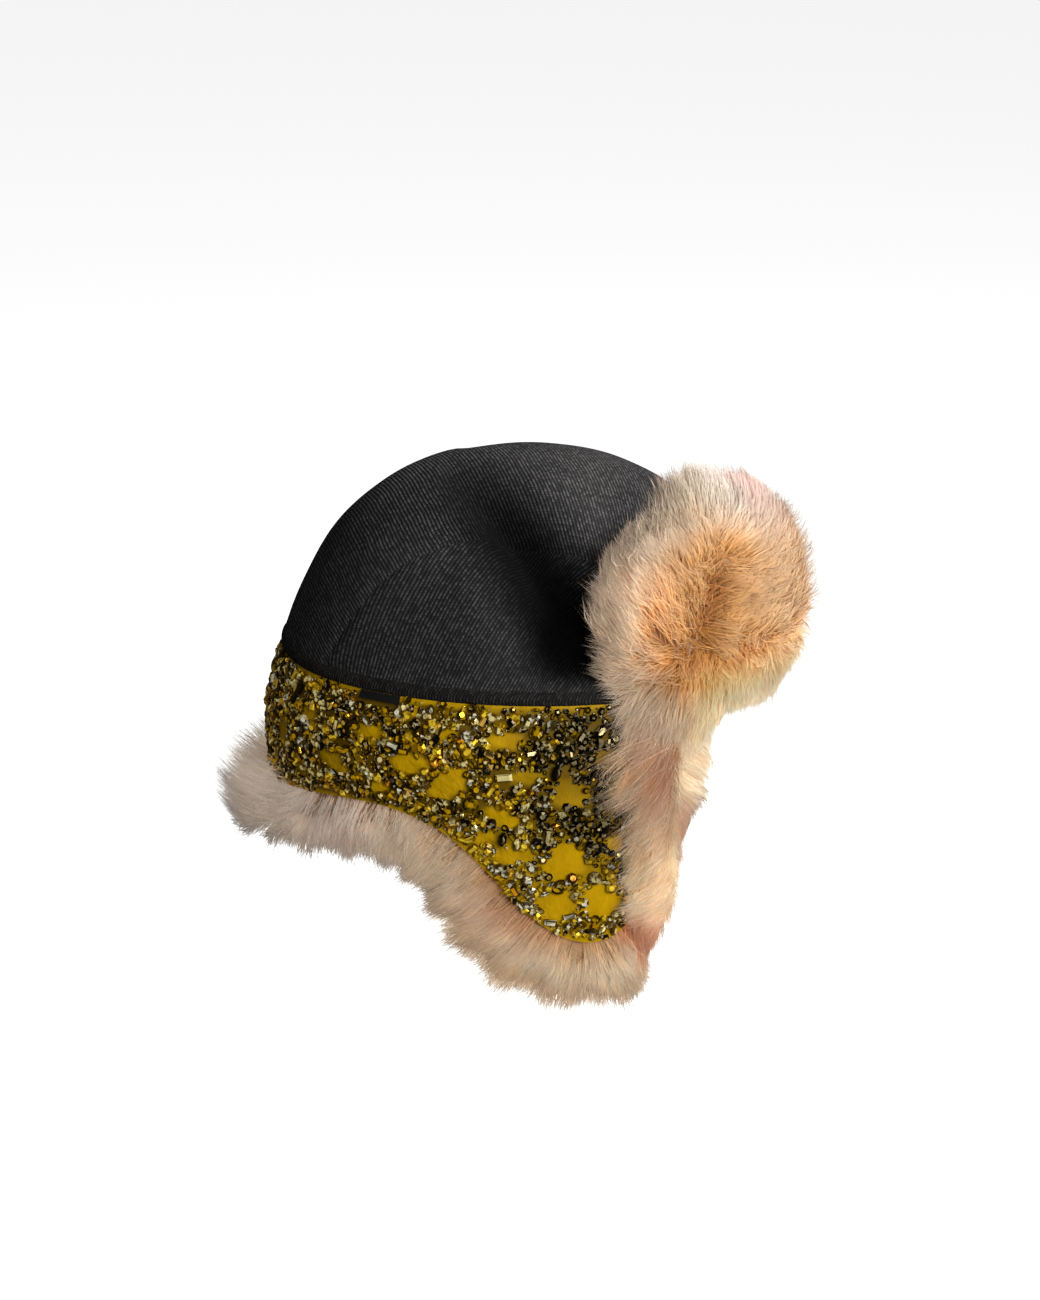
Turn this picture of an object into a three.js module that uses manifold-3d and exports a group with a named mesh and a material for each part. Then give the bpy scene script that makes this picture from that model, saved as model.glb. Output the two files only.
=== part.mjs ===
// A winter hat with ear flaps. A three-panel wool crown sits on a band of bright cloth, which
// hangs down into two ear flaps and is sewn all over with cut stones. A fur lining shows round
// the band's lower edge, and a fur front flap is turned up against the crown.
//
// Millimetres. +X is the front of the hat, +Y is the wearer's left and +Z is up. The origin is
// the middle of the head opening, level with the lower edge of the crown.

import * as THREE from "three";
import Module from "manifold-3d";

// Driving dimensions
const HAT_LENGTH = 220; // outside, front to back at the crown's lower edge
const HAT_WIDTH = 180;
const CROWN_RISE = 86; // from the binding to the top
const SEAM_OFFSET = 61; // the crown's two seams lie this far to the left and right
const CLOTH = 2; // wall of the wool cloth and of the band
const GAP = 0.3; // between pieces that are sewn together
const SEAM_GAP = 0.5; // between the crown's panels
const BINDING_HEIGHT = 5.6;
const BAND_BULGE = 7; // the padded band stands this far outside the crown's edge
const BAND_BULGE_DEPTH = 32; // the bulge is full this far down
const FLAP_END = 122; // turn of an ear flap's front edge, in degrees from the back
const FLAP_LEAN = 0.13; // ear flaps lean inwards this much per unit of drop
const FLAP_LEAN_FROM = 45;
const FLAP_STAND_OFF = 2.4; // of the front flap's hide from the crown's lower edge
const FRONT_FLAP_MIDDLE = 31; // height of the middle of its fur
const FRONT_FLAP_PILE = 15;
const FRONT_FLAP_LOCKS = 30;
const LINING_LOCKS = 38;
const BAND_COLUMNS = 44;
const EDGE_START = 12; // the fur starts this far down the ear flaps' front edges
const EDGE_SMOOTHING = 0.02; // locks turn a corner over this share of the edge
const LOCK_WIDEST = 16;
const BROW_DROP = 10;

const HALF_LENGTH = HAT_LENGTH / 2;
const HALF_WIDTH = HAT_WIDTH / 2;
const CROWN_BASE = BINDING_HEIGHT + GAP;
const DEGREE = Math.PI / 180;
const UNROLL = ((HALF_LENGTH + HALF_WIDTH) / 2) * DEGREE; // mm round the band per degree of turn

// Outline of the crown from its lower edge to its top, as shares of its rise and of its plan.
const CROWN_PROFILE = [
  { rise: 0, reach: 1 },
  { rise: 0.14, reach: 0.962 },
  { rise: 0.27, reach: 0.918 },
  { rise: 0.54, reach: 0.8 },
  { rise: 0.735, reach: 0.652 },
  { rise: 0.87, reach: 0.495 },
  { rise: 0.96, reach: 0.29 },
  { rise: 1, reach: 0 },
];

// The soft valley that is pressed into each side of the crown: points along it, on the surface.
const DENT_PATH = [
  { x: -26, side: 30, z: 86, depth: 3 },
  { x: -3, side: 56, z: 72, depth: 9 },
  { x: 17, side: 74, z: 50, depth: 13 },
  { x: 29, side: 81, z: 28, depth: 12 },
  { x: 36, side: 85, z: 7, depth: 6 },
];
const DENT_REACH = 13;
const DENT_SHARE = { right: 1, left: 0.6 };
const BULGE = { x: -2, side: 80, z: 36, height: 3.5, reach: 26 };

// Lower edge of the band: how far it drops below the crown at each turn from the back.
const BAND_EDGE = [
  { turn: 0, drop: 60 },
  { turn: 30, drop: 55 },
  { turn: 52, drop: 50 },
  { turn: 66, drop: 50 },
  { turn: 78, drop: 58 },
  { turn: 87, drop: 74 },
  { turn: 96, drop: 95 },
  { turn: 104, drop: 107 },
  { turn: 111, drop: 110 },
  { turn: 117, drop: 105 },
  { turn: 122, drop: 90 },
];

// Rows of facets down the band, as shares of its drop. They are closer where it bulges.
const BAND_ROWS = [0, 0.1, 0.21, 0.33, 0.5, 0.75, 1];

// Half the outline of the front flap's hide, from the middle of its top round one side to the
// middle of its bottom. swing is the angle from the front.
const FRONT_FLAP_OUTLINE = [
  { swing: 0, z: 73 },
  { swing: 19, z: 73 },
  { swing: 34, z: 72 },
  { swing: 47, z: 69 },
  { swing: 57, z: 59 },
  { swing: 62, z: 45 },
  { swing: 63, z: 28 },
  { swing: 61, z: 12 },
  { swing: 54, z: 1 },
  { swing: 38, z: -4 },
  { swing: 19, z: -7 },
  { swing: 0, z: -8 },
];

// The flap was not turned up quite level: its top is this much higher on the right.
const FRONT_FLAP_SKEW = { rise: 8, swing: 46 };

// Rows of the front flap's fur from its middle outwards: share of the way to the outline, how
// far past it, where the pile ends as a share of the full pile, and where its inner face is.
const FRONT_FLAP_ROWS = [
  { share: 0, past: 0, out: 1, inner: 0 },
  { share: 0.36, past: 0, out: 1.06, inner: 0 },
  { share: 0.7, past: 0, out: 1.05, inner: 0 },
  { share: 1, past: 0, out: 0.85, inner: 0.4 },
  { share: 1, past: 9, out: 0.55, inner: 1 },
  { share: 1, past: 18, out: 0.14, inner: 1.2 },
];

// The parting that runs aslant down the right of that fur.
const PARTING = { swing: -41, z: 43, tilt: 30, reach: 8, half: 32, depth: 7 };

// Rows of the lining from its top to the tips of its long fur. down is the share of the way
// to the band's edge and past is how far beyond that edge. out and inner are its two faces,
// measured from the band's outside, and curl is how far the fur turns outwards at the nape.
const LINING_ROWS = [
  { down: 0, past: -9, out: -2.6, inner: -6, curl: 0 },
  { down: 0.5, past: -9, out: -3, inner: -7.5, curl: 0 },
  { down: 1, past: -9, out: -3, inner: -8, curl: 0 },
  { down: 1, past: 1.2, out: -2.5, inner: -11, curl: 0 },
  { down: 1, past: 12, out: 2.5, inner: -12.5, curl: 5 },
  { down: 1, past: 22, out: 3.2, inner: -9.5, curl: 11 },
  { down: 1, past: 31, out: 0.2, inner: -2.4, curl: 17 },
];

// Along an ear flap's front edge the last rows roll outwards and back over the band. Each
// face has its own place there: past in front of the edge, or back as a share of the reach.
const ROLL_ROWS = [
  { outPast: 1.4, outBack: 0, out: 4.8, innerPast: 9, innerBack: 0, inner: -8 },
  { outPast: 0, outBack: 0.5, out: 5.4, innerPast: 13, innerBack: 0, inner: 7 },
  { outPast: 0, outBack: 1, out: 5, innerPast: 0, innerBack: 0.35, inner: 14 },
];
const ROLL_REACH = { top: 36, bottom: 12 }; // how far back over the band, down the flap

// Bare patches of cloth between the clusters of stones, on each side of the band.
// turn and depth place the middle, long and high are half sizes, lean tips the patch forward.
const BARE_PATCHES = [
  { turn: 28, depth: 31, long: 5, high: 10, lean: 0 },
  { turn: 50, depth: 34, long: 9, high: 4.5, lean: -22 },
  { turn: 71, depth: 28, long: 8.5, high: 4.5, lean: 0 },
  { turn: 80, depth: 35, long: 10, high: 5.5, lean: 42 },
  { turn: 106, depth: 38, long: 7, high: 7, lean: 20 },
  { turn: 92, depth: 49, long: 8, high: 5, lean: -28 },
  { turn: 94, depth: 67, long: 7.5, high: 4.5, lean: 10 },
  { turn: 105, depth: 70, long: 10, high: 7.5, lean: 48 },
  { turn: 103, depth: 91, long: 6, high: 6.5, lean: 10 },
  { turn: 113, depth: 90, long: 7, high: 8, lean: 30 },
];

// Materials
const wool = new THREE.MeshStandardMaterial({ color: 0x2c2c2f, roughness: 0.95, metalness: 0 });
const bandCloth = new THREE.MeshStandardMaterial({ color: 0xb08a0a, roughness: 0.75, metalness: 0 });
const fur = new THREE.MeshStandardMaterial({ color: 0xd9b68c, roughness: 0.9, metalness: 0 });
const stones = new THREE.MeshStandardMaterial({ color: 0x6a6440, roughness: 0.12, metalness: 0.8 });
const label = new THREE.MeshStandardMaterial({ color: 0x0c0c0d, roughness: 0.7, metalness: 0 });

// A smooth curve through a table's rows, read at one place. from and to name its columns.
function readTable(table, from, to, place) {
  const last = table.length - 1;
  let i = 0;
  while (i < last - 1 && place > table[i + 1][from]) i += 1;
  const row = (k) => table[Math.min(last, Math.max(0, k))];
  const slope = (k) => {
    const before = row(k - 1);
    const after = row(k + 1);
    return (after[to] - before[to]) / (after[from] - before[from]);
  };
  const width = row(i + 1)[from] - row(i)[from];
  const t = Math.min(1, Math.max(0, (place - row(i)[from]) / width));
  const start = (1 + 2 * t) * (1 - t) ** 2 * row(i)[to] + t * (1 - t) ** 2 * width * slope(i);
  const end = t * t * (3 - 2 * t) * row(i + 1)[to] + t * t * (t - 1) * width * slope(i + 1);
  return start + end;
}

function ease(t) {
  const share = Math.min(1, Math.max(0, t));
  return share * share * (3 - 2 * share);
}

// A number from 0 to 1 that looks random and is the same each time.
function scatter(seed) {
  const wave = Math.sin(seed * 127.1 + 11.7) * 43758.5453;
  return wave - Math.floor(wave);
}

// A surface is a function of two numbers that returns a point. This gives its unit normal.
function normalAt(surface, u, v, step = 0.01) {
  const alongU = surface(u + step, v).sub(surface(u - step, v));
  const alongV = surface(u, v + step).sub(surface(u, v - step));
  return alongU.cross(alongV).normalize();
}

// A closed body from two grids of points, its outer and its inner skin. wraps joins the last
// column to the first.
function shellBetween(outer, inner, columns, rows, wraps = false) {
  const points = [];
  const faces = [];
  const lines = wraps ? columns : columns + 1;
  for (const skin of [outer, inner]) {
    for (let i = 0; i < lines; i += 1) {
      for (let j = 0; j <= rows; j += 1) points.push(skin(i, j));
    }
  }
  const at = (skin, i, j) => skin * lines * (rows + 1) + (i % lines) * (rows + 1) + j;
  const quad = (a, b, c, d) => faces.push([a, b, c], [a, c, d]);
  for (let i = 0; i < columns; i += 1) {
    for (let j = 0; j < rows; j += 1) {
      quad(at(0, i, j), at(0, i + 1, j), at(0, i + 1, j + 1), at(0, i, j + 1));
      quad(at(1, i, j), at(1, i, j + 1), at(1, i + 1, j + 1), at(1, i + 1, j));
    }
    quad(at(0, i, 0), at(1, i, 0), at(1, i + 1, 0), at(0, i + 1, 0));
    quad(at(0, i, rows), at(0, i + 1, rows), at(1, i + 1, rows), at(1, i, rows));
  }
  if (!wraps) {
    for (let j = 0; j < rows; j += 1) {
      quad(at(0, 0, j), at(0, 0, j + 1), at(1, 0, j + 1), at(1, 0, j));
      quad(at(0, columns, j), at(1, columns, j), at(1, columns, j + 1), at(0, columns, j + 1));
    }
  }
  return bodyOf(points, faces);
}

// Indexed geometry with its faces turned outwards.
function bodyOf(points, faces) {
  let volume = 0;
  for (const [a, b, c] of faces) {
    volume += points[a].dot(new THREE.Vector3().crossVectors(points[b], points[c]));
  }
  const index = faces.flatMap(([a, b, c]) => (volume < 0 ? [a, c, b] : [a, b, c]));
  const geometry = new THREE.BufferGeometry();
  const numbers = new Float32Array(points.flatMap((p) => [p.x, p.y, p.z]));
  geometry.setAttribute("position", new THREE.BufferAttribute(numbers, 3));
  geometry.setIndex(index);
  return geometry;
}

const wasm = await Module();
wasm.setup();

function toSolid(geometry) {
  return new wasm.Manifold(
    new wasm.Mesh({
      numProp: 3,
      vertProperties: geometry.getAttribute("position").array,
      triVerts: new Uint32Array(geometry.index.array),
    }),
  );
}

function fromSolid(solid) {
  const mesh = solid.getMesh();
  const geometry = new THREE.BufferGeometry();
  geometry.setAttribute("position", new THREE.BufferAttribute(mesh.vertProperties, 3));
  geometry.setIndex(new THREE.BufferAttribute(mesh.triVerts, 1));
  return geometry;
}

// Crown

// How high the crown stands over a place in plan, before its dents, as a share of its rise.
function crownShare(x, y) {
  const reach = Math.hypot(x / HALF_LENGTH, y / HALF_WIDTH);
  const last = CROWN_PROFILE.length - 1;
  let low = 0;
  let high = 1;
  if (reach >= 1) {
    const [edge, next] = CROWN_PROFILE;
    return ((edge.reach - reach) * (next.rise - edge.rise)) / (edge.reach - next.reach);
  }
  if (reach <= CROWN_PROFILE[last].reach) return 1;
  for (let step = 0; step < 30; step += 1) {
    const middle = (low + high) / 2;
    if (profileReach(middle) > reach) low = middle;
    else high = middle;
  }
  return (low + high) / 2;
}

// The profile is round at the top, so its reach is read over the square root of what is left.
const PROFILE_ROWS = CROWN_PROFILE.map((row) => ({
  root: 1 - Math.sqrt(1 - row.rise),
  reach: row.reach,
}));

function profileReach(rise) {
  return readTable(PROFILE_ROWS, "root", "reach", 1 - Math.sqrt(1 - rise));
}

// How far the crown is pushed in at a point of its plain surface. A bulge is negative.
function dentAt(point) {
  const side = point.y < 0 ? "right" : "left";
  const here = new THREE.Vector3(point.x, Math.abs(point.y), point.z);
  let nearest = Infinity;
  let depth = 0;
  for (let k = 0; k + 1 < DENT_PATH.length; k += 1) {
    const [from, to] = [DENT_PATH[k], DENT_PATH[k + 1]];
    const start = new THREE.Vector3(from.x, from.side, from.z);
    const run = new THREE.Vector3(to.x, to.side, to.z).sub(start);
    const share = here.clone().sub(start).dot(run) / run.lengthSq();
    const t = Math.min(1, Math.max(0, share));
    const away = start.addScaledVector(run, t).distanceTo(here);
    if (away < nearest) {
      nearest = away;
      depth = from.depth + (to.depth - from.depth) * t;
    }
  }
  const middle = new THREE.Vector3(BULGE.x, BULGE.side, BULGE.z);
  const swell = BULGE.height * Math.exp(-((middle.distanceTo(here) / BULGE.reach) ** 2));
  const valley = depth * Math.exp(-((nearest / DENT_REACH) ** 2));
  const keepEdge = ease((point.z - CROWN_BASE) / 16);
  return (valley - swell) * DENT_SHARE[side] * keepEdge;
}

function plainCrown(x, y) {
  return new THREE.Vector3(x, y, CROWN_BASE + CROWN_RISE * crownShare(x, y));
}

function crownSurface(x, y) {
  const point = plainCrown(x, y);
  const inwards = normalAt(plainCrown, x, y, 0.4).negate();
  return point.clone().addScaledVector(inwards, dentAt(point));
}

function crownInside(x, y) {
  const normal = normalAt(crownSurface, x, y, 0.4);
  const point = crownSurface(x, y).addScaledVector(normal, -CLOTH);
  point.z = Math.max(point.z, CROWN_BASE);
  return point;
}

// Half the crown's length along the line y = side.
function halfChord(side) {
  return HALF_LENGTH * Math.sqrt(1 - (side / HALF_WIDTH) ** 2);
}

function crownPanel(plan, columns, rows) {
  return shellBetween(
    (i, j) => crownSurface(...plan(i, j)),
    (i, j) => crownInside(...plan(i, j)),
    columns,
    rows,
  );
}

function centrePanel() {
  const columns = 22;
  const rows = 8;
  const edge = SEAM_OFFSET - SEAM_GAP / 2;
  return crownPanel(
    (i, j) => {
      const y = edge * ((2 * j) / rows - 1);
      return [-halfChord(y) * Math.cos((Math.PI * i) / columns), y];
    },
    columns,
    rows,
  );
}

function sidePanel(side) {
  const columns = 18;
  const rows = 6;
  const blunt = 0.02; // the pointed ends are cut off by this share of the length
  const edge = SEAM_OFFSET + SEAM_GAP / 2;
  const corner = Math.asin(edge / HALF_WIDTH);
  return crownPanel(
    (i, j) => {
      const along = blunt + (1 - 2 * blunt) * (i / columns);
      const out = Math.sin((Math.PI * j) / (2 * rows));
      const turn = corner + (Math.PI - 2 * corner) * along;
      const seamX = -halfChord(edge) * Math.cos(Math.PI * along);
      const edgeX = -HALF_LENGTH * Math.cos(turn);
      const edgeY = HALF_WIDTH * Math.sin(turn);
      return [seamX + (edgeX - seamX) * out, side * (edge + (edgeY - edge) * out)];
    },
    columns,
    rows,
  );
}

// The narrow cloth tape between the crown and the band.
function binding() {
  const columns = 44;
  const section = [
    { out: 0.7, z: 0 },
    { out: 0.9, z: BINDING_HEIGHT },
  ];
  const ring = (offset) => (i, j) => {
    const angle = (2 * Math.PI * i) / columns;
    const { out, z } = section[j];
    const x = (HALF_LENGTH + out + offset) * Math.cos(angle);
    return new THREE.Vector3(x, (HALF_WIDTH + out + offset) * Math.sin(angle), z);
  };
  return shellBetween(ring(0), ring(-CLOTH - 0.9), columns, 1, true);
}

// Band, ear flaps and what follows them

// The outside of the band at a turn from the back, in degrees, and a depth below the crown.
// It goes on past the band's own edges, so that the fur there can follow it.
function bandSurface(turn, depth) {
  const swell = BAND_BULGE * Math.sin((Math.PI / 2) * Math.min(1, Math.max(0, depth) / BAND_BULGE_DEPTH));
  const lean = FLAP_LEAN * Math.max(0, depth - FLAP_LEAN_FROM) * ease((Math.abs(turn) - 45) / 40);
  const x = -(HALF_LENGTH + swell) * Math.cos(turn * DEGREE);
  const y = (HALF_WIDTH + swell - lean) * Math.sin(turn * DEGREE);
  return new THREE.Vector3(x, y, -depth);
}

// A point this far outside the band. Its left side has positive turns.
function offBand(turn, depth, out) {
  const normal = normalAt(bandSurface, turn, depth, 0.2);
  const point = bandSurface(turn, depth);
  const outwards = normal.x * point.x + normal.y * point.y > 0 ? out : -out;
  return point.addScaledVector(normal, outwards);
}

function bandDrop(turn) {
  return readTable(BAND_EDGE, "turn", "drop", Math.abs(turn));
}

// A wall that follows the band between two offsets from its outside. What lies on the band
// has its facets along the same lines, so that the two stay parallel.
function bandWall(from, to, turns, depths) {
  const place = (out) => (i, j) => {
    const point = offBand(turns[i], depths(turns[i])[j], out);
    point.z = Math.min(point.z, -GAP);
    return point;
  };
  return shellBetween(place(from), place(to), turns.length - 1, depths(turns[0]).length - 1);
}

const BAND_TURNS = Array.from({ length: BAND_COLUMNS + 1 }, (_, i) => FLAP_END * ((2 * i) / BAND_COLUMNS - 1));

function bandDepths(turn) {
  return BAND_ROWS.map((share) => GAP + (bandDrop(turn) - GAP) * share);
}

function band() {
  return bandWall(0, -CLOTH, BAND_TURNS, bandDepths);
}

function browBand() {
  const columns = 12;
  const swing = 180 - FLAP_END - GAP;
  const place = (out) => (i, j) => {
    const angle = swing * DEGREE * ((2 * i) / columns - 1);
    const depth = GAP + (BROW_DROP - GAP) * j;
    const x = (HALF_LENGTH + out) * Math.cos(angle);
    return new THREE.Vector3(x, (HALF_WIDTH + out) * Math.sin(angle), -depth);
  };
  return shellBetween(place(0.7), place(0.7 - CLOTH), columns, 1);
}

// Points along the whole free edge of the band on the unrolled cloth, from the left front
// corner round the back to the right one, with the direction that leads off the cloth.
function freeEdge(count) {
  const route = [new THREE.Vector2(FLAP_END * UNROLL, -EDGE_START)];
  for (let turn = FLAP_END; turn >= -FLAP_END; turn -= 1) {
    route.push(new THREE.Vector2(turn * UNROLL, -bandDrop(turn)));
  }
  route.push(new THREE.Vector2(-FLAP_END * UNROLL, -EDGE_START));
  const line = new THREE.CurvePath();
  for (let k = 0; k + 1 < route.length; k += 1) {
    line.add(new THREE.LineCurve(route[k], route[k + 1]));
  }
  const place = (share) => {
    const before = line.getPointAt(Math.max(0, share - EDGE_SMOOTHING));
    const run = line.getPointAt(Math.min(1, share + EDGE_SMOOTHING)).sub(before).normalize();
    return { at: line.getPointAt(share), off: new THREE.Vector2(-run.y, run.x) };
  };
  // The columns are spaced evenly where the locks are widest, half way to their tips.
  const shares = Array.from({ length: 601 }, (_, k) => k / 600);
  const outer = shares.map((share) => {
    const { at, off } = place(share);
    return at.clone().addScaledVector(off, LOCK_WIDEST);
  });
  const travelled = [0];
  for (let k = 1; k <= 600; k += 1) {
    const step = Math.max(outer[k].distanceTo(outer[k - 1]), 0.15);
    travelled.push(travelled[k - 1] + step);
  }
  const columns = [];
  let k = 0;
  for (let i = 0; i <= count; i += 1) {
    const goal = (travelled[600] * i) / count;
    while (k < 599 && travelled[k + 1] < goal) k += 1;
    const part = (goal - travelled[k]) / (travelled[k + 1] - travelled[k]);
    columns.push({ share: (k + part) / 600, ...place((k + part) / 600) });
  }
  return columns;
}

// The fur lining: a hide inside the band and, round its free edge, pointed locks of long fur
// that roll back over the band at the front of the ear flaps.
function furLining() {
  const columns = 2 * LINING_LOCKS;
  const edge = freeEdge(columns);
  const firstLock = LINING_ROWS.length - ROLL_ROWS.length;
  const skin = (face) => (i, j) => {
    const { at, off, share } = edge[i];
    const row = LINING_ROWS[j];
    const tip = i % 2 === 0 ? 1 - 0.08 * scatter(i) : 0.74 + 0.08 * scatter(i);
    const rolled = ease((off.x * Math.sign(at.x) - 0.45) / 0.45);
    const reach = ROLL_REACH.top + (ROLL_REACH.bottom - ROLL_REACH.top) * (-at.y / bandDrop(FLAP_END));
    let past = row.past * (j < firstLock ? 1 : tip);
    let out = row[face];
    if (j >= firstLock) {
      const roll = ROLL_ROWS[j - firstLock];
      const rollPast = roll[face + "Past"] - roll[face + "Back"] * reach * tip;
      past += (rollPast - past) * rolled;
      out += (roll[face] - out) * rolled;
    }
    const top = new THREE.Vector2(FLAP_END * (1 - 2 * share) * UNROLL, -2);
    const place = at.clone().addScaledVector(off, past).lerp(top, 1 - row.down);
    const turn = place.x / UNROLL;
    const nape = 1 - ease((Math.abs(turn) - 20) / 45);
    return offBand(turn, -place.y, out + row.curl * nape);
  };
  return shellBetween(skin("out"), skin("inner"), columns, LINING_ROWS.length - 1);
}

// Front flap

// A point of the turned-up front flap, out from its inner face.
function flapSurface(swing, z, out = 0) {
  const tip = 12 * (Math.max(0, z - 15) / 55) ** 1.6;
  const away = FLAP_STAND_OFF + out - tip;
  const x = (HALF_LENGTH + away) * Math.cos(swing * DEGREE);
  return new THREE.Vector3(x, (HALF_WIDTH + away) * Math.sin(swing * DEGREE), z);
}

// Places evenly round the flap's outline on its unrolled hide, and which way is outwards.
function flapEdge(count) {
  const half = FRONT_FLAP_OUTLINE.map(({ swing, z }) => new THREE.Vector3(swing * UNROLL, z, 0));
  const other = half.slice(1, -1).reverse().map((p) => new THREE.Vector3(-p.x, p.y, 0));
  const skewed = [...half, ...other].map((p) => {
    const rise = FRONT_FLAP_SKEW.rise * (-p.x / (FRONT_FLAP_SKEW.swing * UNROLL));
    return new THREE.Vector3(p.x, p.y + rise * ease(p.y / 60), 0);
  });
  const outline = new THREE.CatmullRomCurve3(skewed, true);
  return Array.from({ length: count }, (_, i) => {
    const run = outline.getTangentAt(i / count);
    return { at: outline.getPointAt(i / count), off: new THREE.Vector3(-run.y, run.x, 0) };
  });
}

// The fur of the front flap on its hide: a thick pile with a parting, and a rim of locks.
function frontFlap() {
  const sectors = 2 * FRONT_FLAP_LOCKS;
  const last = FRONT_FLAP_ROWS.length - 1;
  const edge = flapEdge(sectors);
  const middle = new THREE.Vector3(0, FRONT_FLAP_MIDDLE, 0);
  const skin = (face) => (i, j) => {
    const row = FRONT_FLAP_ROWS[j];
    const { at, off } = edge[i % sectors];
    const tip = i % 2 === 0 ? 1 - 0.1 * scatter(i) : 0.7 + 0.1 * scatter(i);
    const low = 1 - 0.7 * ease((20 - at.y) / 24);
    const place = middle.clone().lerp(at, row.share).addScaledVector(off, row.past * tip * low);
    const swing = place.x / UNROLL;
    const ridge = j < last ? 0.9 * row.share * (i % 2 === 0 ? 1 : -1) : 0;
    const full = FRONT_FLAP_PILE * (1 - 0.5 * ease((16 - place.y) / 28));
    const pile = Math.max(1.5, full * row.out + ridge - parting(swing, place.y));
    return flapSurface(swing, place.y, face === "out" ? pile : row.inner);
  };
  return discBetween(skin("out"), skin("inner"), sectors, last);
}

// How deep the parting in the front flap's fur is at a place.
function parting(swing, z) {
  const tilt = PARTING.tilt * DEGREE;
  const right = (swing - PARTING.swing) * UNROLL;
  const above = z - PARTING.z;
  const across = right * Math.cos(tilt) - above * Math.sin(tilt);
  const along = right * Math.sin(tilt) + above * Math.cos(tilt);
  const width = Math.exp(-((across / PARTING.reach) ** 2));
  return PARTING.depth * width * (1 - ease(Math.abs(along) / PARTING.half));
}

// A closed body from two round fans of points that meet at their rim.
function discBetween(outer, inner, sectors, rings) {
  const points = [];
  const faces = [];
  const at = (skin, i, j) => {
    const base = skin * (1 + sectors * rings);
    return j === 0 ? base : base + 1 + (j - 1) * sectors + (i % sectors);
  };
  for (const skin of [outer, inner]) {
    points.push(skin(0, 0));
    for (let j = 1; j <= rings; j += 1) {
      for (let i = 0; i < sectors; i += 1) points.push(skin(i, j));
    }
  }
  for (let i = 0; i < sectors; i += 1) {
    faces.push([at(0, i, 0), at(0, i, 1), at(0, i + 1, 1)]);
    faces.push([at(1, i, 0), at(1, i + 1, 1), at(1, i, 1)]);
    for (let j = 1; j < rings; j += 1) {
      faces.push([at(0, i, j), at(0, i, j + 1), at(0, i + 1, j + 1)]);
      faces.push([at(0, i, j), at(0, i + 1, j + 1), at(0, i + 1, j)]);
      faces.push([at(1, i, j), at(1, i + 1, j + 1), at(1, i, j + 1)]);
      faces.push([at(1, i, j), at(1, i + 1, j), at(1, i + 1, j + 1)]);
    }
    faces.push([at(0, i, rings), at(1, i, rings), at(1, i + 1, rings)]);
    faces.push([at(0, i, rings), at(1, i + 1, rings), at(0, i + 1, rings)]);
  }
  return bodyOf(points, faces);
}

// Stones

const NET = { top: 5.6, under: 0.35, over: 1.1, margin: 3.5, start: 0.6, end: FLAP_END - 2 };
const STONE = { sides: 8, table: 0.55, rise: 0.62, seat: 0.5, smallest: 3, largest: 4.2 };
const PATCH_SIDES = 8;
const STONE_PITCH = { turn: 13, depth: 17 };

// How far a place is from the middle of a bare patch: under 1 is inside it.
function patchReach(patch, turn, depth) {
  const along = (turn - patch.turn) * UNROLL;
  const down = depth - patch.depth;
  const lean = patch.lean * DEGREE;
  const long = along * Math.cos(lean) - down * Math.sin(lean);
  const high = along * Math.sin(lean) + down * Math.cos(lean);
  return Math.hypot(long / patch.long, high / patch.high);
}

// The directions along the band, down it and out of it at one place.
function bandFrame(turn, depth) {
  const origin = offBand(turn, depth, 0);
  const out = offBand(turn, depth, 1).sub(origin).normalize();
  const along = offBand(turn + 0.5, depth, 0).sub(offBand(turn - 0.5, depth, 0)).normalize();
  const down = new THREE.Vector3().crossVectors(out, along).normalize();
  return { origin, out, along, down };
}

// A closed body of round sections on the band: each section has a height off it and a radius.
function bossOnBand(turn, depth, sections, sides, long, high, lean) {
  const { origin, out, along, down } = bandFrame(turn, depth);
  const flip = down.z > 0 ? -1 : 1;
  const points = [];
  for (const { out: height, radius } of sections) {
    for (let k = 0; k < sides; k += 1) {
      const angle = (2 * Math.PI * (k + 0.5)) / sides;
      const p = radius * long * Math.cos(angle);
      const q = radius * high * Math.sin(angle);
      const a = (p * Math.cos(lean) + q * Math.sin(lean)) * Math.sign(turn);
      const b = (q * Math.cos(lean) - p * Math.sin(lean)) * flip;
      const point = origin.clone().addScaledVector(out, height);
      points.push(point.addScaledVector(along, a).addScaledVector(down, b));
    }
  }
  const faces = [];
  const last = (sections.length - 1) * sides;
  for (let k = 0; k < sides; k += 1) {
    const next = (k + 1) % sides;
    for (let s = 0; s < last; s += sides) {
      faces.push([s + k, s + next, s + sides + next], [s + k, s + sides + next, s + sides + k]);
    }
    if (k > 0 && k < sides - 1) faces.push([0, next, k], [last, last + k, last + next]);
  }
  return toSolid(bodyOf(points, faces));
}

function cutStone(turn, depth, size, long, lean) {
  const sections = [
    { out: STONE.seat, radius: size },
    { out: NET.over + STONE.rise * size, radius: STONE.table * size },
  ];
  return bossOnBand(turn, depth, sections, STONE.sides, long, 1 / Math.sqrt(long), lean * DEGREE);
}

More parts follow.
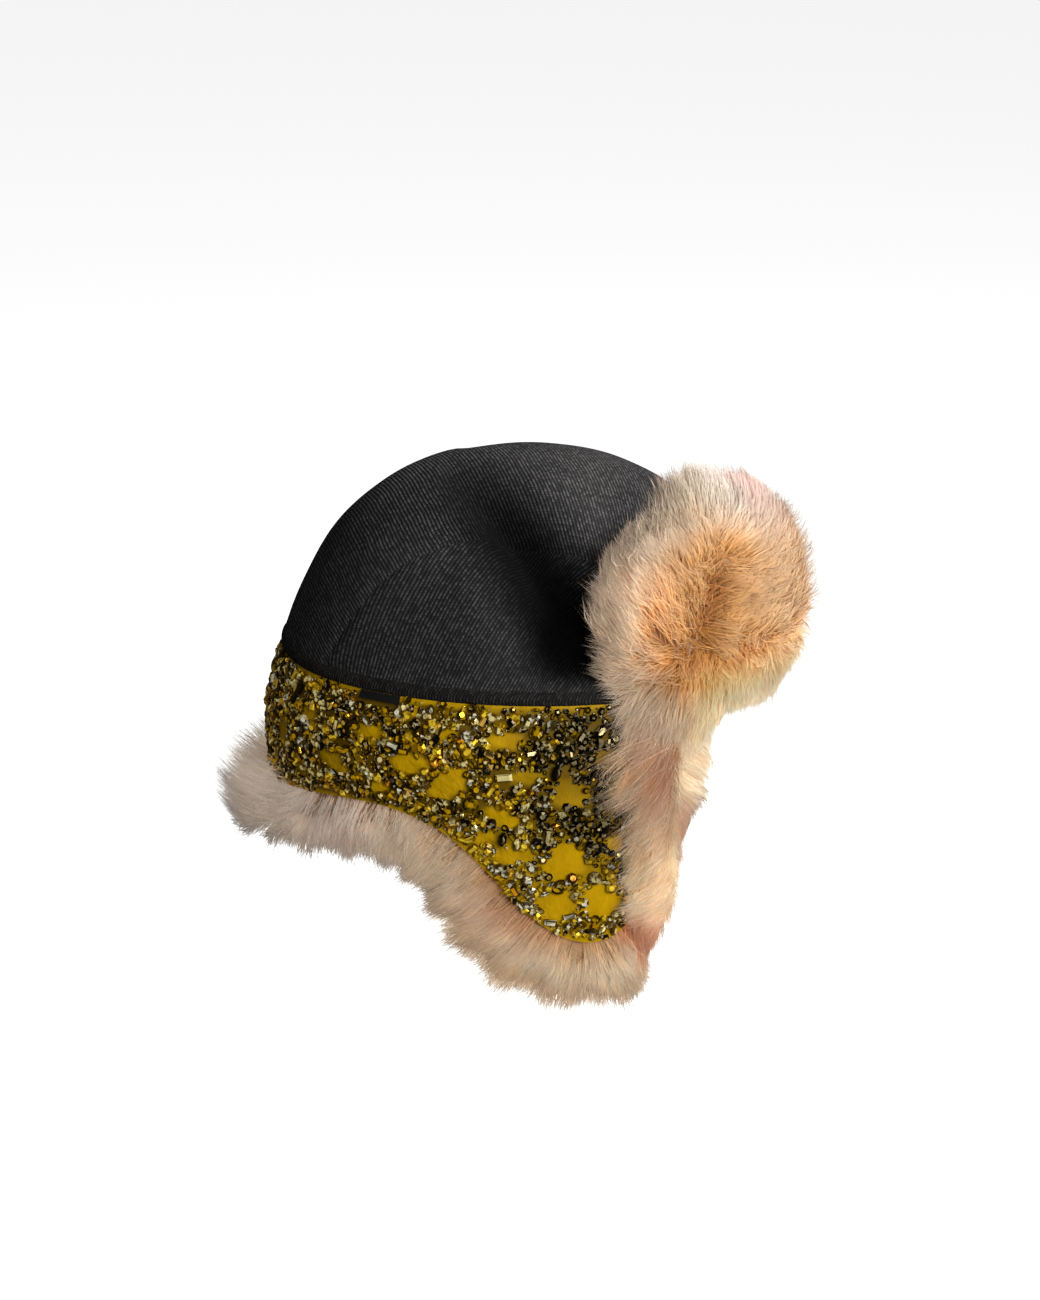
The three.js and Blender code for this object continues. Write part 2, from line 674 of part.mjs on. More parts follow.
// Where the larger stones sit on one side: a staggered grid that leaves the bare patches free.
function stonePlaces() {
  const places = [];
  for (let row = 0; row < 8; row += 1) {
    for (let column = 0; column < 12; column += 1) {
      const seed = row * 31 + column * 7 + 1;
      const shift = row % 2 === 0 ? 0 : 0.5;
      const turn = (column + 0.55 + shift + 0.3 * (scatter(seed) - 0.5)) * STONE_PITCH.turn;
      const depth = 11 + (row + 0.35 * (scatter(seed + 5) - 0.5)) * STONE_PITCH.depth;
      const size = STONE.smallest + (STONE.largest - STONE.smallest) * scatter(seed + 9);
      const long = scatter(seed + 3) > 0.7 ? 1.5 : 1;
      const room = size * long;
      const low = bandDrop(turn) - NET.margin - size - 1;
      const clear = BARE_PATCHES.every((p) => {
        const reach = patchReach(p, turn, depth);
        return reach > 1 + (room * 0.5) / Math.min(p.long, p.high);
      });
      const inField = turn > NET.start + 2 && turn < NET.end - 2.4 && depth < low;
      if (clear && inField) places.push({ turn, depth, size, long, lean: 180 * scatter(seed + 13) });
    }
  }
  return places;
}

// The stones of one side, fused to the thin beaded ground that carries them between the
// bare patches.
function stoneField(side) {
  const inner = BAND_TURNS.filter((turn) => turn > NET.start && turn < NET.end);
  const turns = [NET.start, ...inner, NET.end].map((turn) => side * turn).sort((a, b) => a - b);
  const depths = (turn) => {
    const [, ...rows] = bandDepths(turn);
    return [NET.top, ...rows.slice(0, -1), bandDrop(turn) - NET.margin];
  };
  let field = toSolid(bandWall(NET.over, NET.under, turns, depths));
  for (const patch of BARE_PATCHES) {
    const sections = [
      { out: -3, radius: 1 },
      { out: 4, radius: 1 },
    ];
    const lean = patch.lean * DEGREE;
    const { turn, depth, long, high } = patch;
    const cutter = bossOnBand(side * turn, depth, sections, PATCH_SIDES, long, high, lean);
    field = field.subtract(cutter);
  }
  for (const { turn, depth, size, long, lean } of stonePlaces()) {
    field = field.add(cutStone(side * turn, depth, size, long, lean));
  }
  return fromSolid(field);
}

// A small plain woven label on the right, at the joint of the binding and the band.
function sideLabel() {
  return bandWall(1.4, 0.5, [-67, -61.5, -56], () => [0.9, 4.5]);
}

function pieceOf(name, geometry, material) {
  const mesh = new THREE.Mesh(geometry, material);
  geometry.computeVertexNormals();
  mesh.name = name;
  return mesh;
}

const hat = new THREE.Group();
hat.name = "fur_hat";
hat.add(
  pieceOf("crown_centre", centrePanel(), wool),
  pieceOf("crown_side_right", sidePanel(-1), wool),
  pieceOf("crown_side_left", sidePanel(1), wool),
  pieceOf("binding", binding(), wool),
  pieceOf("band", band(), bandCloth),
  pieceOf("brow_band", browBand(), wool),
  pieceOf("fur_lining", furLining(), fur),
  pieceOf("front_flap", frontFlap(), fur),
  pieceOf("stones_right", stoneField(-1), stones),
  pieceOf("stones_left", stoneField(1), stones),
  pieceOf("side_label", sideLabel(), label),
);

export default hat;
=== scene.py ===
# %% [markdown]
# # A winter hat of wool twill, cut stones and shearling
# The hat has a charcoal twill crown in three panels, a mustard band that hangs down into two
# ear flaps, a field of small cut stones sewn to that band, and long fur. The fur shows round
# the band's free edge and on the front flap, which is turned up against the crown.
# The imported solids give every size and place. Here each soft piece is built again at the
# same size, fine enough for cloth and hair, and it gets a finish that is made of nodes.

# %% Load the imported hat
import math

import bpy
import numpy as np
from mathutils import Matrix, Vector


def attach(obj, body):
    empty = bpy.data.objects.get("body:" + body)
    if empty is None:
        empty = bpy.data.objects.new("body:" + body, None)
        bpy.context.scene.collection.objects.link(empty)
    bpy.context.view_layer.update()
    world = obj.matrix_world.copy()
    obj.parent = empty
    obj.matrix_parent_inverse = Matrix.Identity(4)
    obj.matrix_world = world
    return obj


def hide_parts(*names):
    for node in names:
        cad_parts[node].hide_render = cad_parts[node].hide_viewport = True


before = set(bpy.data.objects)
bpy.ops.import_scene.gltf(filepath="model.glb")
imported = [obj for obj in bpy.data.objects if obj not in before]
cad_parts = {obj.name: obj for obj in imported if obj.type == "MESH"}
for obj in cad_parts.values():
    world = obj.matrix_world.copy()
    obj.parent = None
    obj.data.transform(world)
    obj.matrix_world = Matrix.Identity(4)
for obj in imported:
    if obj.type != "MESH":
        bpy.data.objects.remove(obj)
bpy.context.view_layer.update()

MM = 0.001


def add_object(name, data):
    """Puts a new object that holds this data into the scene."""
    thing = bpy.data.objects.new(name, data)
    bpy.context.scene.collection.objects.link(thing)
    return thing


# %% [markdown]
# ## The camera
# The photograph looks at the wearer's right side, a little from the front and from above. A
# long lens keeps the hat free of strong perspective, as in a catalogue picture. Its place is
# worked out from the two angles and the distance, so each can be tried on its own.

# %% Camera
AZIMUTH, ELEVATION, DISTANCE = math.radians(8), math.radians(17), 1.8
AIM_RIGHT, AIM_UP = -0.0027, -0.0023  # m from the origin to the middle of the view
to_camera = Vector((
    math.sin(AZIMUTH) * math.cos(ELEVATION),
    -math.cos(AZIMUTH) * math.cos(ELEVATION),
    math.sin(ELEVATION),
))
sideways = Vector((math.cos(AZIMUTH), math.sin(AZIMUTH), 0))
upwards = to_camera.cross(sideways)
aim = AIM_RIGHT * sideways + AIM_UP * upwards
lens = bpy.data.cameras.new("camera")
lens.lens, lens.sensor_width = 110.1, 36
lens.clip_end = 60
camera = add_object("camera", lens)
camera.location = aim + DISTANCE * to_camera
camera.rotation_euler = (-to_camera).to_track_quat("-Z", "Y").to_euler()
bpy.context.scene.camera = camera
print("camera at", tuple(round(c, 3) for c in camera.location))

# %% [markdown]
# ## The forms that the cloth follows
# A maker of hats draws each panel from a few measures: how high the crown stands, how its
# side curves, how far the band drops at each place. The same measures are repeated here, in
# millimetres, and a smooth curve is read through each table. The cloth pieces and the fur
# are then laid on these forms, so they sit where the solids are.

# %% Curves through a table
HALF_LENGTH, HALF_WIDTH = 110.0, 90.0
UNROLL = math.radians((HALF_LENGTH + HALF_WIDTH) / 2)  # mm round the band per degree


def ease(t):
    t = np.clip(t, 0, 1)
    return t * t * (3 - 2 * t)


def read_table(rows, place):
    """A smooth curve through a table's rows of (place, value)."""
    at, value = np.array(rows, float).T
    before, after = np.insert(at[:-1], 0, at[0]), np.append(at[1:], at[-1])
    slope = (np.append(value[1:], value[-1]) - np.insert(value[:-1], 0, value[0])) / (after - before)
    i = np.clip(np.searchsorted(at, place) - 1, 0, len(at) - 2)
    width = at[i + 1] - at[i]
    t = np.clip((place - at[i]) / width, 0, 1)
    start = (1 + 2 * t) * (1 - t) ** 2 * value[i] + t * (1 - t) ** 2 * width * slope[i]
    return start + t * t * (3 - 2 * t) * value[i + 1] + t * t * (t - 1) * width * slope[i + 1]


def nearest_on(path, place):
    """The nearest row of a path, read between its knots, and how far away it is. The first
    columns of a row are its place, and a row may have more columns."""
    size = place.shape[-1]
    away, found = np.full(place.shape[:-1], np.inf), np.zeros((*place.shape[:-1], path.shape[1]))
    for start, end in zip(path, path[1:]):
        run = end - start
        t = np.clip((place - start[:size]) @ run[:size] / (run[:size] @ run[:size]), 0, 1)
        row = start + t[..., None] * run
        gap = np.linalg.norm(place - row[..., :size], axis=-1)
        found = np.where((gap < away)[..., None], row, found)
        away = np.minimum(away, gap)
    return found, away


def scatter(seed):
    """A number from 0 to 1 that looks random and is the same each time."""
    wave = np.sin(np.asarray(seed) * 127.1 + 11.7) * 43758.5453
    return wave - np.floor(wave)


def unit(vectors):
    return vectors / np.maximum(np.linalg.norm(vectors, axis=-1, keepdims=True), 1e-9)


def ripple(x, y, size, seed=0.0):
    """A soft uneven wave between -1 and 1, for cloth that isn't quite smooth."""
    a, b = x / size + seed, y / size - seed
    wave = np.sin(a * 2.1 + 1.3 * np.sin(b * 1.7)) + np.sin(b * 2.6 + 1.1 * np.sin(a * 1.9 + 2))
    return (wave + np.sin(a * 3.3 - b * 2.9 + seed)) / 3


# %% The crown's form
CROWN_BASE, CROWN_RISE = 5.9, 86.0
CROWN_PROFILE = [
    # share of the rise, and how far out the side is there
    (0, 1), (0.14, 0.962), (0.27, 0.918), (0.54, 0.8), (0.735, 0.652), (0.87, 0.495), (0.96, 0.29), (1, 0),
]
DENT_PATH = np.array([
    # x, y, z and depth of the valley's line
    [-26, 30, 86, 3], [-3, 56, 72, 9], [17, 74, 50, 13], [29, 81, 28, 12], [36, 85, 7, 6],
], float)
DENT_BEHIND, DENT_AHEAD_REACH = 8.0, 17.0  # steep towards the bulge and easy towards the flap
DENT_AHEAD = np.array([0.83, -0.37, 0.39])
BULGE, BULGE_HEIGHT, BULGE_REACH = np.array([-2.0, 80.0, 36.0]), 3.5, 26.0
LEFT_SHARE, DENT_FADE = 0.6, 16.0  # how much weaker the left side's dents are, and where they end

roots = np.linspace(0, 1, 4001)
profile_reach = read_table([(1 - math.sqrt(1 - rise), reach) for rise, reach in CROWN_PROFILE], roots)
profile_rise = 1 - (1 - roots) ** 2


def plain_crown(x, y):
    reach = np.hypot(x / HALF_LENGTH, y / HALF_WIDTH)
    share = np.interp(reach, profile_reach[::-1], profile_rise[::-1])
    # Past the edge the side goes on as steeply as the profile's lowest leg.
    leg_rise, leg_reach = CROWN_PROFILE[1]
    share = np.where(reach > 1, (1 - reach) * leg_rise / (1 - leg_reach), share)
    return np.stack([x, y, CROWN_BASE + CROWN_RISE * share], axis=-1)


def surface_normal(surface, u, v, step):
    along_u = surface(u + step, v) - surface(u - step, v)
    along_v = surface(u, v + step) - surface(u, v - step)
    return unit(np.cross(along_u, along_v))


def on_one_side(point):
    """The point or its mirror image, on the side of positive y that the tables describe."""
    return point * [1, 0, 1] + np.abs(point) * [0, 1, 0]


def dent_share(point):
    """How much of a dent is left here: less on the left, and none at the crown's edge."""
    return np.where(point[..., 1] < 0, 1, LEFT_SHARE) * ease((point[..., 2] - CROWN_BASE) / DENT_FADE)


def crown_fold(point, behind=DENT_BEHIND):
    """How deep the fold is at a point that is on or beside it."""
    here = on_one_side(point)
    valley, away = nearest_on(DENT_PATH, here)
    ahead = (here - valley[..., :3]) @ DENT_AHEAD
    reach = behind + (DENT_AHEAD_REACH - behind) * ease(0.5 + ahead / 12)
    return valley[..., 3] * np.exp(-((away / reach) ** 2)) * dent_share(point)


def crown_dent(point):
    """How far the crown is pressed in at a point. A bulge is negative."""
    away = np.linalg.norm(on_one_side(point) - BULGE, axis=-1)
    return crown_fold(point) - BULGE_HEIGHT * np.exp(-((away / BULGE_REACH) ** 2)) * dent_share(point)


def crown_surface(x, y, sunk=0.0):
    point = plain_crown(x, y)
    inwards = -surface_normal(plain_crown, x, y, 0.4)
    return point + inwards * (crown_dent(point) + sunk)[..., None]


def half_chord(side):
    return HALF_LENGTH * np.sqrt(1 - (side / HALF_WIDTH) ** 2)


# %% The band's form
BAND_BULGE, BAND_BULGE_DEPTH = 7.0, 32.0
FLAP_END, FLAP_LEAN, FLAP_LEAN_FROM = 122.0, 0.13, 45.0
BAND_EDGE = [
    # degrees from the back, and how far the band drops there
    (0, 60), (30, 55), (52, 50), (66, 50), (78, 58), (87, 74),
    (96, 95), (104, 107), (111, 110), (117, 105), (122, 90),
]


def round_head(angle, out, height):
    """A point round the head. angle is in radians from the brow, out is past the crown's edge."""
    x, y = (HALF_LENGTH + out) * np.cos(angle), (HALF_WIDTH + out) * np.sin(angle)
    return np.stack([x, y, height], axis=-1)


def band_surface(turn, depth):
    """A point of the band's outside. turn is in degrees from the back, the right is negative."""
    swell = BAND_BULGE * np.sin(math.pi / 2 * np.clip(depth / BAND_BULGE_DEPTH, 0, 1))
    lean = FLAP_LEAN * np.maximum(0, depth - FLAP_LEAN_FROM) * ease((np.abs(turn) - 45) / 40)
    angle = np.radians(turn)
    x = -(HALF_LENGTH + swell) * np.cos(angle)
    return np.stack([x, (HALF_WIDTH + swell - lean) * np.sin(angle), -depth + 0 * x], axis=-1)


def band_outwards(turn, depth):
    normal = surface_normal(band_surface, turn, depth, 0.2)
    point = band_surface(turn, depth)
    facing = np.sign(normal[..., 0] * point[..., 0] + normal[..., 1] * point[..., 1])
    return normal * facing[..., None]


def off_band(turn, depth, out):
    return band_surface(turn, depth) + band_outwards(turn, depth) * np.asarray(out)[..., None]


def band_drop(turn):
    return read_table(BAND_EDGE, np.abs(turn))


print("crown top", plain_crown(np.array([0.0]), np.array([0.0])), "flap drop", band_drop(np.array([111.0])))

# %% [markdown]
# ## Finishes
# Each finish is a small graph of nodes. Written out node by node such a graph is hard to
# read, so a socket is wrapped in a class that knows sums and products: fibre * 0.15 + 0.78
# then adds its Math nodes by itself. One more method adds any other node.

# %% A small language for nodes


class Signal:
    """One output of a node, which can be used in sums and products."""

    def __init__(self, finish, socket):
        self.finish, self.socket = finish, socket

    def math(self, operation, *others):
        return self.finish.add("ShaderNodeMath", {"operation": operation}, [self, *others])

    def __add__(self, other):
        return self.math("ADD", other)

    def __mul__(self, other):
        return self.math("MULTIPLY", other)

    def __sub__(self, other):
        return self.math("SUBTRACT", other)

    def bounded(self):
        return self.math("MAXIMUM", 0.0).math("MINIMUM", 1.0)

    def part(self, name):
        """Another output of the same node."""
        return Signal(self.finish, self.socket.node.outputs[name])


class Finish:
    """A material whose main shader is set up by its sockets' names."""

    def __init__(self, name, **fixed):
        self.material = bpy.data.materials.new(name)
        self.material.use_nodes = True
        self.tree = self.material.node_tree
        self.shader = self.tree.nodes["Principled BSDF"]
        for socket, value in fixed.items():
            self.shader.inputs[socket.replace("_", " ")].default_value = value

    def add(self, kind, settings=(), values=(), output=0):
        node = self.tree.nodes.new(kind)
        for key, value in dict(settings).items():
            setattr(node, key, value)
        for key, value in (values.items() if isinstance(values, dict) else enumerate(values)):
            self.join(value, node.inputs[key])
        return Signal(self, node.outputs[output])

    def join(self, value, socket):
        if isinstance(value, Signal):
            self.tree.links.new(value.socket, socket)
        else:
            socket.default_value = value

    def drive(self, **signals):
        for socket, value in signals.items():
            self.join(value, self.shader.inputs[socket.replace("_", " ")])
        return self

    def mix(self, share, first, second, blend="MIX"):
        settings = {"data_type": "RGBA", "blend_type": blend}
        node = self.add("ShaderNodeMix", settings)
        inputs = node.socket.node.inputs
        for value, socket in ((share, inputs[0]), (first, inputs[6]), (second, inputs[7])):
            if isinstance(value, tuple):
                value = (*value, 1)
            self.join(value, socket)
        return Signal(self, node.socket.node.outputs[2])

    def noise(self, where, scale, detail=3.0, roughness=0.55):
        values = {"Vector": where, "Scale": scale, "Detail": detail, "Roughness": roughness}
        return self.add("ShaderNodeTexNoise", {"noise_dimensions": "3D"}, values)

    def bump(self, height, depth_mm, strength=1.0, under=None):
        values = {"Height": height, "Distance": depth_mm * MM, "Strength": strength}
        if under is not None:
            values["Normal"] = under
        return self.add("ShaderNodeBump", {}, values)

    def split(self, where):
        """The parts of a place, for part("X"), part("Y") and part("Z")."""
        return self.add("ShaderNodeSeparateXYZ", {}, [where])

    def cloth_place(self):
        return self.add("ShaderNodeUVMap", {"uv_map": "UVMap"})

    def object_place(self):
        return self.add("ShaderNodeTexCoord", {}, {}, "Object")

    def attribute(self, name, output="Color"):
        return self.add("ShaderNodeAttribute", {"attribute_name": name}, {}, output)


def tint(code):
    """A colour written as six hex digits, as the linear values that a shader works in."""
    parts = [int(code[k:k + 2], 16) / 255 for k in (0, 2, 4)]
    return tuple(c / 12.92 if c <= 0.04045 else ((c + 0.055) / 1.055) ** 2.4 for c in parts)


# %% [markdown]
# ## Wool twill
# Twill shows slanting ribs, about 1.6 mm apart here, and each rib is a row of short yarns,
# some pale and some dark. The cloth carries a UV map in millimetres, so the ribs keep their
# size and follow the panel. Ribs, yarns and fibre are three waves at three sizes, and the
# same waves drive the colour and the bump.

# %% Twill
RIB_DEPTH = 0.3


def twill(name, slant, pitch=1.55, yarn=1.5, dark="161617", pale="666463"):
    """slant is in degrees, pitch and yarn are the sizes of a rib and of one yarn in mm."""
    finish = Finish(name, Specular_IOR_Level=0.03)
    place = finish.cloth_place()
    angle = math.radians(90 - slant)
    turned = finish.add(
        "ShaderNodeVectorRotate", {"rotation_type": "Z_AXIS"}, {"Vector": place, "Angle": angle})
    split = finish.split(turned)
    across = split.part("X") * (1 / pitch)
    wander = finish.noise(place, 0.06, 2) - 0.5
    across = across + wander * 0.9
    rib_number = across.math("FLOOR")
    along = split.part("Y") * (1 / yarn) + rib_number * 0.37
    rib = (across * (2 * math.pi)).math("SINE") * 0.5 + 0.5
    knot = (along * (2 * math.pi)).math("SINE") * 0.5 + 0.5
    cell = finish.add("ShaderNodeCombineXYZ", {}, [rib_number, along.math("FLOOR"), 0.0])
    fleck = finish.add("ShaderNodeTexWhiteNoise", {"noise_dimensions": "2D"}, {"Vector": cell}).part("Value")
    fibre = finish.noise(place, 2.6, 4, 0.7)
    patchy = finish.noise(finish.object_place(), 28, 3)
    yarns = rib * (knot * 0.5 + 0.5) * (fleck.math("POWER", 1.4) * 0.8 + 0.2)
    light = yarns + (fibre - 0.5) * 0.8 + (patchy - 0.5) * 0.25 + 0.08
    colour = finish.mix(light.bounded(), tint(dark), tint(pale))
    # Painted shade: in the fold the colour is mixed to almost black.
    fold_shade = finish.attribute("fold", "Fac")
    colour = finish.mix(fold_shade, colour, tint("020203"))
    height = rib * 0.75 + knot * rib * 0.25 + fibre * 0.35
    return finish.drive(
        Base_Color=colour,
        Roughness=fibre * 0.15 + 0.78,
        Normal=finish.bump(height, RIB_DEPTH, 0.9),
    ).material


wool_side = twill("wool_twill_side", 59)
wool_centre = twill("wool_twill_centre", 114)
wool_tape = twill("wool_twill_tape", 70, pitch=1.35, yarn=2.0, dark="141415", pale="4c4845")
print("twill made")

# %% [markdown]
# ## Panels of cloth
# A panel is cut flat, then eased over the head's form. Here a grid with enough squares is
# laid on the form, its flat lengths are kept as a UV map, and Solidify gives it the cloth's
# wall. A curved sheet like this is set by code, as no operator knows the hat's form.

# %% A panel on its form


def clear_selection():
    bpy.ops.object.select_all(action="DESELECT")


def pick_only(piece):
    """Selects the piece alone and makes it the active one, as operators expect."""
    clear_selection()
    bpy.context.view_layer.objects.active = piece
    piece.select_set(True)


def edit_all(piece, operator, **settings):
    """Runs one of the operators for meshes on all of the piece."""
    pick_only(piece)
    bpy.ops.object.mode_set(mode="EDIT")
    bpy.ops.mesh.select_all(action="SELECT")
    operator(**settings)
    bpy.ops.object.mode_set(mode="OBJECT")


def weld(piece):
    """Joins points of the piece that lie together."""
    edit_all(piece, bpy.ops.mesh.remove_doubles, threshold=0.02 * MM)


def apply_modifier(piece, kind, **settings):
    modifier = piece.modifiers.new(kind.lower(), kind)
    for key, value in settings.items():
        setattr(modifier, key, value)
    pick_only(piece)
    bpy.ops.object.modifier_apply(modifier=modifier.name)


def lay_flat(points, by_column=False):
    """Lengths along and across a grid of points, in mm, as the cloth had them when flat."""
    steps = np.linalg.norm(np.diff(points, axis=0), axis=-1)
    along = np.concatenate([np.zeros((1, points.shape[1])), np.cumsum(steps, axis=0)])
    middle = points.shape[0] // 2
    rises = np.linalg.norm(np.diff(points, axis=1), axis=-1)
    across = np.concatenate([np.zeros((points.shape[0], 1)), np.cumsum(rises, axis=1)], axis=1)
    if by_column:
        half = points.shape[1] // 2
        along = np.repeat(along[:, half:half + 1], points.shape[1], axis=1)
        across = across[:, -1:] - across
    else:
        across = np.repeat(across[middle:middle + 1], points.shape[0], axis=0)
    return np.stack([along - along[middle], across], axis=-1)


def cloth_panel(
        name, columns, rows, place, wall, finish, by_column=False, lowest=None, closed=False, marks=()):
    """A sheet of cloth. place(u, v) gives its outside, for u and v from 0 to 1.
    marks are numbers that the finish reads, each as a function of u and v."""
    clear_selection()
    bpy.ops.mesh.primitive_grid_add(x_subdivisions=columns, y_subdivisions=rows, size=2)
    piece = bpy.context.object
    piece.name = piece.data.name = name
    mesh = piece.data
    flat = np.empty(len(mesh.vertices) * 3)
    mesh.vertices.foreach_get("co", flat)
    column = np.rint((flat[0::3] + 1) / 2 * columns).astype(int)
    row = np.rint((flat[1::3] + 1) / 2 * rows).astype(int)
    u, v = np.meshgrid(np.arange(columns + 1) / columns, np.arange(rows + 1) / rows, indexing="ij")
    points = place(u, v)
    mesh.vertices.foreach_set("co", (points[column, row] * MM).ravel())
    for mark, value in dict(marks).items():
        mesh.attributes.new(mark, "FLOAT", "POINT").data.foreach_set("value", value(u, v)[column, row])
    lengths = lay_flat(points, by_column)
    corner = np.empty(len(mesh.loops), int)
    mesh.loops.foreach_get("vertex_index", corner)
    mesh.uv_layers[0].name = "UVMap"
    mesh.uv_layers[0].data.foreach_set("uv", lengths[column[corner], row[corner]].ravel())
    mesh.update()
    facing = sum(f.normal.dot(f.center - Vector((0, 0, 0.02))) for f in mesh.polygons)
    if facing < 0:
        mesh.flip_normals()
    if closed:
        weld(piece)
    apply_modifier(piece, "SOLIDIFY", thickness=wall * MM, offset=-1, use_even_offset=True)
    if lowest is not None:
        for vertex in mesh.vertices:
            vertex.co.z = max(vertex.co.z, lowest * MM)
    mesh.materials.clear()
    mesh.materials.append(finish)
    for face in mesh.polygons:
        face.use_smooth = True
    pick_only(piece)
    bpy.ops.object.shade_smooth_by_angle(angle=math.radians(50))
    piece["flat_mm"] = [float(np.ptp(lengths[..., 0])), float(np.ptp(lengths[..., 1]))]
    cut = np.cross(np.diff(points, axis=0)[:, :-1], np.diff(points, axis=1)[:-1])
    piece["cut_mm2"] = float(np.linalg.norm(cut, axis=-1).sum())
    print(name, len(mesh.polygons), "faces, flat", [round(c) for c in piece["flat_mm"]], "mm")
    return piece


# %% [markdown]
# ## The crown
# A long middle panel runs from the brow to the nape, and a half-moon panel fills each side.
# The allowances are pressed open inside, so each edge rolls in a little where two panels
# meet. The soft valley towards the front flap comes from the form itself.

# %% Crown panels
SEAM_OFFSET, SEAM_OVERLAP = 61.0, 0.04  # the overlap lets no light through
SEAM_ROLL, SEAM_ROLL_WIDTH = 0.6, 1.5
CORNER_CUT = 0.008  # share of the seam that each corner of a side panel leaves out
CLOTH = 2.0


def crown_cloth(x, y):
    seam = np.abs(np.abs(y) - SEAM_OFFSET)
    roll = SEAM_ROLL * np.exp(-((seam / SEAM_ROLL_WIDTH) ** 2))
    uneven = 0.35 * ripple(x, y, 17, 0.4) * np.clip(1 - np.hypot(x / HALF_LENGTH, y / HALF_WIDTH), 0, 0.2) * 5
    return crown_surface(x, y, roll + uneven)


def centre_at(u, v):
    y = (SEAM_OFFSET + SEAM_OVERLAP / 2) * np.sin(math.pi * (v - 0.5))
    return -half_chord(y) * np.cos(math.pi * u), y


def side_at(side):
    edge = SEAM_OFFSET - SEAM_OVERLAP / 2
    corner = math.asin(edge / HALF_WIDTH)

    def at(u, v):
        along = CORNER_CUT + (1 - 2 * CORNER_CUT) * u
        out = np.sin(math.pi * v / 2)
        turn = corner + (math.pi - 2 * corner) * along
        seam_x = -half_chord(edge) * np.cos(math.pi * along)
        x = seam_x + (-HALF_LENGTH * np.cos(turn) - seam_x) * out
        return x, side * (edge + (HALF_WIDTH * np.sin(turn) - edge) * out)

    return at


def crown_panel(name, columns, rows, at, finish, by_column=False):
    def place(u, v):
        return crown_cloth(*at(u, v))

    def fold_shade(u, v):
        # A painted shade, black on the slope that lies behind and below the valley's floor.
        return 0.97 * (1 - np.exp(-crown_fold(plain_crown(*at(u, v)) + [2.5, 0, 2.5], 11.5) / 2.7))

    marks = {"fold": fold_shade}
    return cloth_panel(name, columns, rows, place, CLOTH, finish, by_column, CROWN_BASE, marks=marks)


twill_centre = crown_panel("twill_centre", 96, 56, centre_at, wool_centre)
twill_right = crown_panel("twill_side_right", 72, 36, side_at(-1), wool_side, True)
twill_left = crown_panel("twill_side_left", 72, 36, side_at(1), wool_side, True)

# %% [markdown]
# ## Binding and brow band
# A narrow tape of the same wool covers the seam between the crown and the band. It is folded
# round the seam, so it stands a little proud in its middle. Under the front flap the tape
# goes on as a short band over the brow.

# %% Binding tape and brow band
BINDING_HEIGHT, GAP, BROW_DROP = 5.6, 0.3, 10.0


def tape_place(u, v):
    angle = 2 * math.pi * u
    out = 0.2 + 1.05 * np.sin(math.pi * v) ** 0.5
    height = -0.15 + (BINDING_HEIGHT + 0.75) * v
    return round_head(angle, out, height)


def brow_place(u, v):
    angle = np.radians(180 - FLAP_END - GAP) * (2 * u - 1)
    depth = GAP + (BROW_DROP - GAP) * v
    return round_head(angle, 0.4 + 0.4 * np.sin(math.pi * v), -depth)


binding_tape = cloth_panel("binding_tape", 300, 8, tape_place, 1.6, wool_tape, closed=True)
brow_cloth = cloth_panel("brow_cloth", 64, 8, brow_place, 1.6, wool_tape)

# %% [markdown]
# ## The mustard band
# The band is one strip of smooth, close-woven cloth over thin padding, with a soft bulge
# under the binding. The stones pull it, so it has shallow puckers. Its weave is too fine to
# see from afar: it shows as a quiet grain. The colour is darker in the puckers' hollows,
# which is painted shade, and darker again between the stones, which is painted shade too.

# %% Band cloth
BAND_TOP = 0.1  # mm below the crown's lower edge, hidden by the binding


def band_cloth_finish():
    finish = Finish("mustard_cloth", Specular_IOR_Level=0.12)
    place = finish.cloth_place()
    split = finish.split(place)
    weave = (split.part("X") * 11.0).math("SINE") * (split.part("Y") * 11.0).math("SINE")
    pull = finish.noise(place, 0.13, 3, 0.6)
    grain = finish.noise(place, 1.6, 3, 0.6)
    # Painted shade: the colour is darker where the puckers dip, with a random grain on top.
    pucker_shade_and_grain = (pull - 0.5) * 1.1 + (grain - 0.5) * 0.35 + 0.5
    colour = finish.mix(pucker_shade_and_grain.bounded(), tint("bb9000"), tint("f0bc00"))
    # Painted shade: between the stones and by the front flap the cloth's colour is mixed to a dark olive.
    colour = finish.mix(finish.attribute("painted_stone_shade", "Fac"), colour, tint("503c04"))
    bumps = finish.bump(pull, 2.2, 0.6)
    return finish.drive(
        Base_Color=colour,
        Roughness=grain * 0.2 + 0.42,
        Normal=finish.bump(weave + grain * 1.5, 0.05, 0.7, bumps),
    ).material


def band_place(u, v):
    turn = FLAP_END * (2 * u - 1)
    depth = BAND_TOP + (band_drop(turn) - BAND_TOP) * v
    pucker = 0.28 * ripple(turn * UNROLL, depth, 6.5, 1.7) * np.sin(math.pi * v) ** 0.5
    return off_band(turn, depth, pucker - 0.25)


mustard = band_cloth_finish()
band_cloth = cloth_panel("band_cloth", 200, 36, band_place, CLOTH - 0.25, mustard)
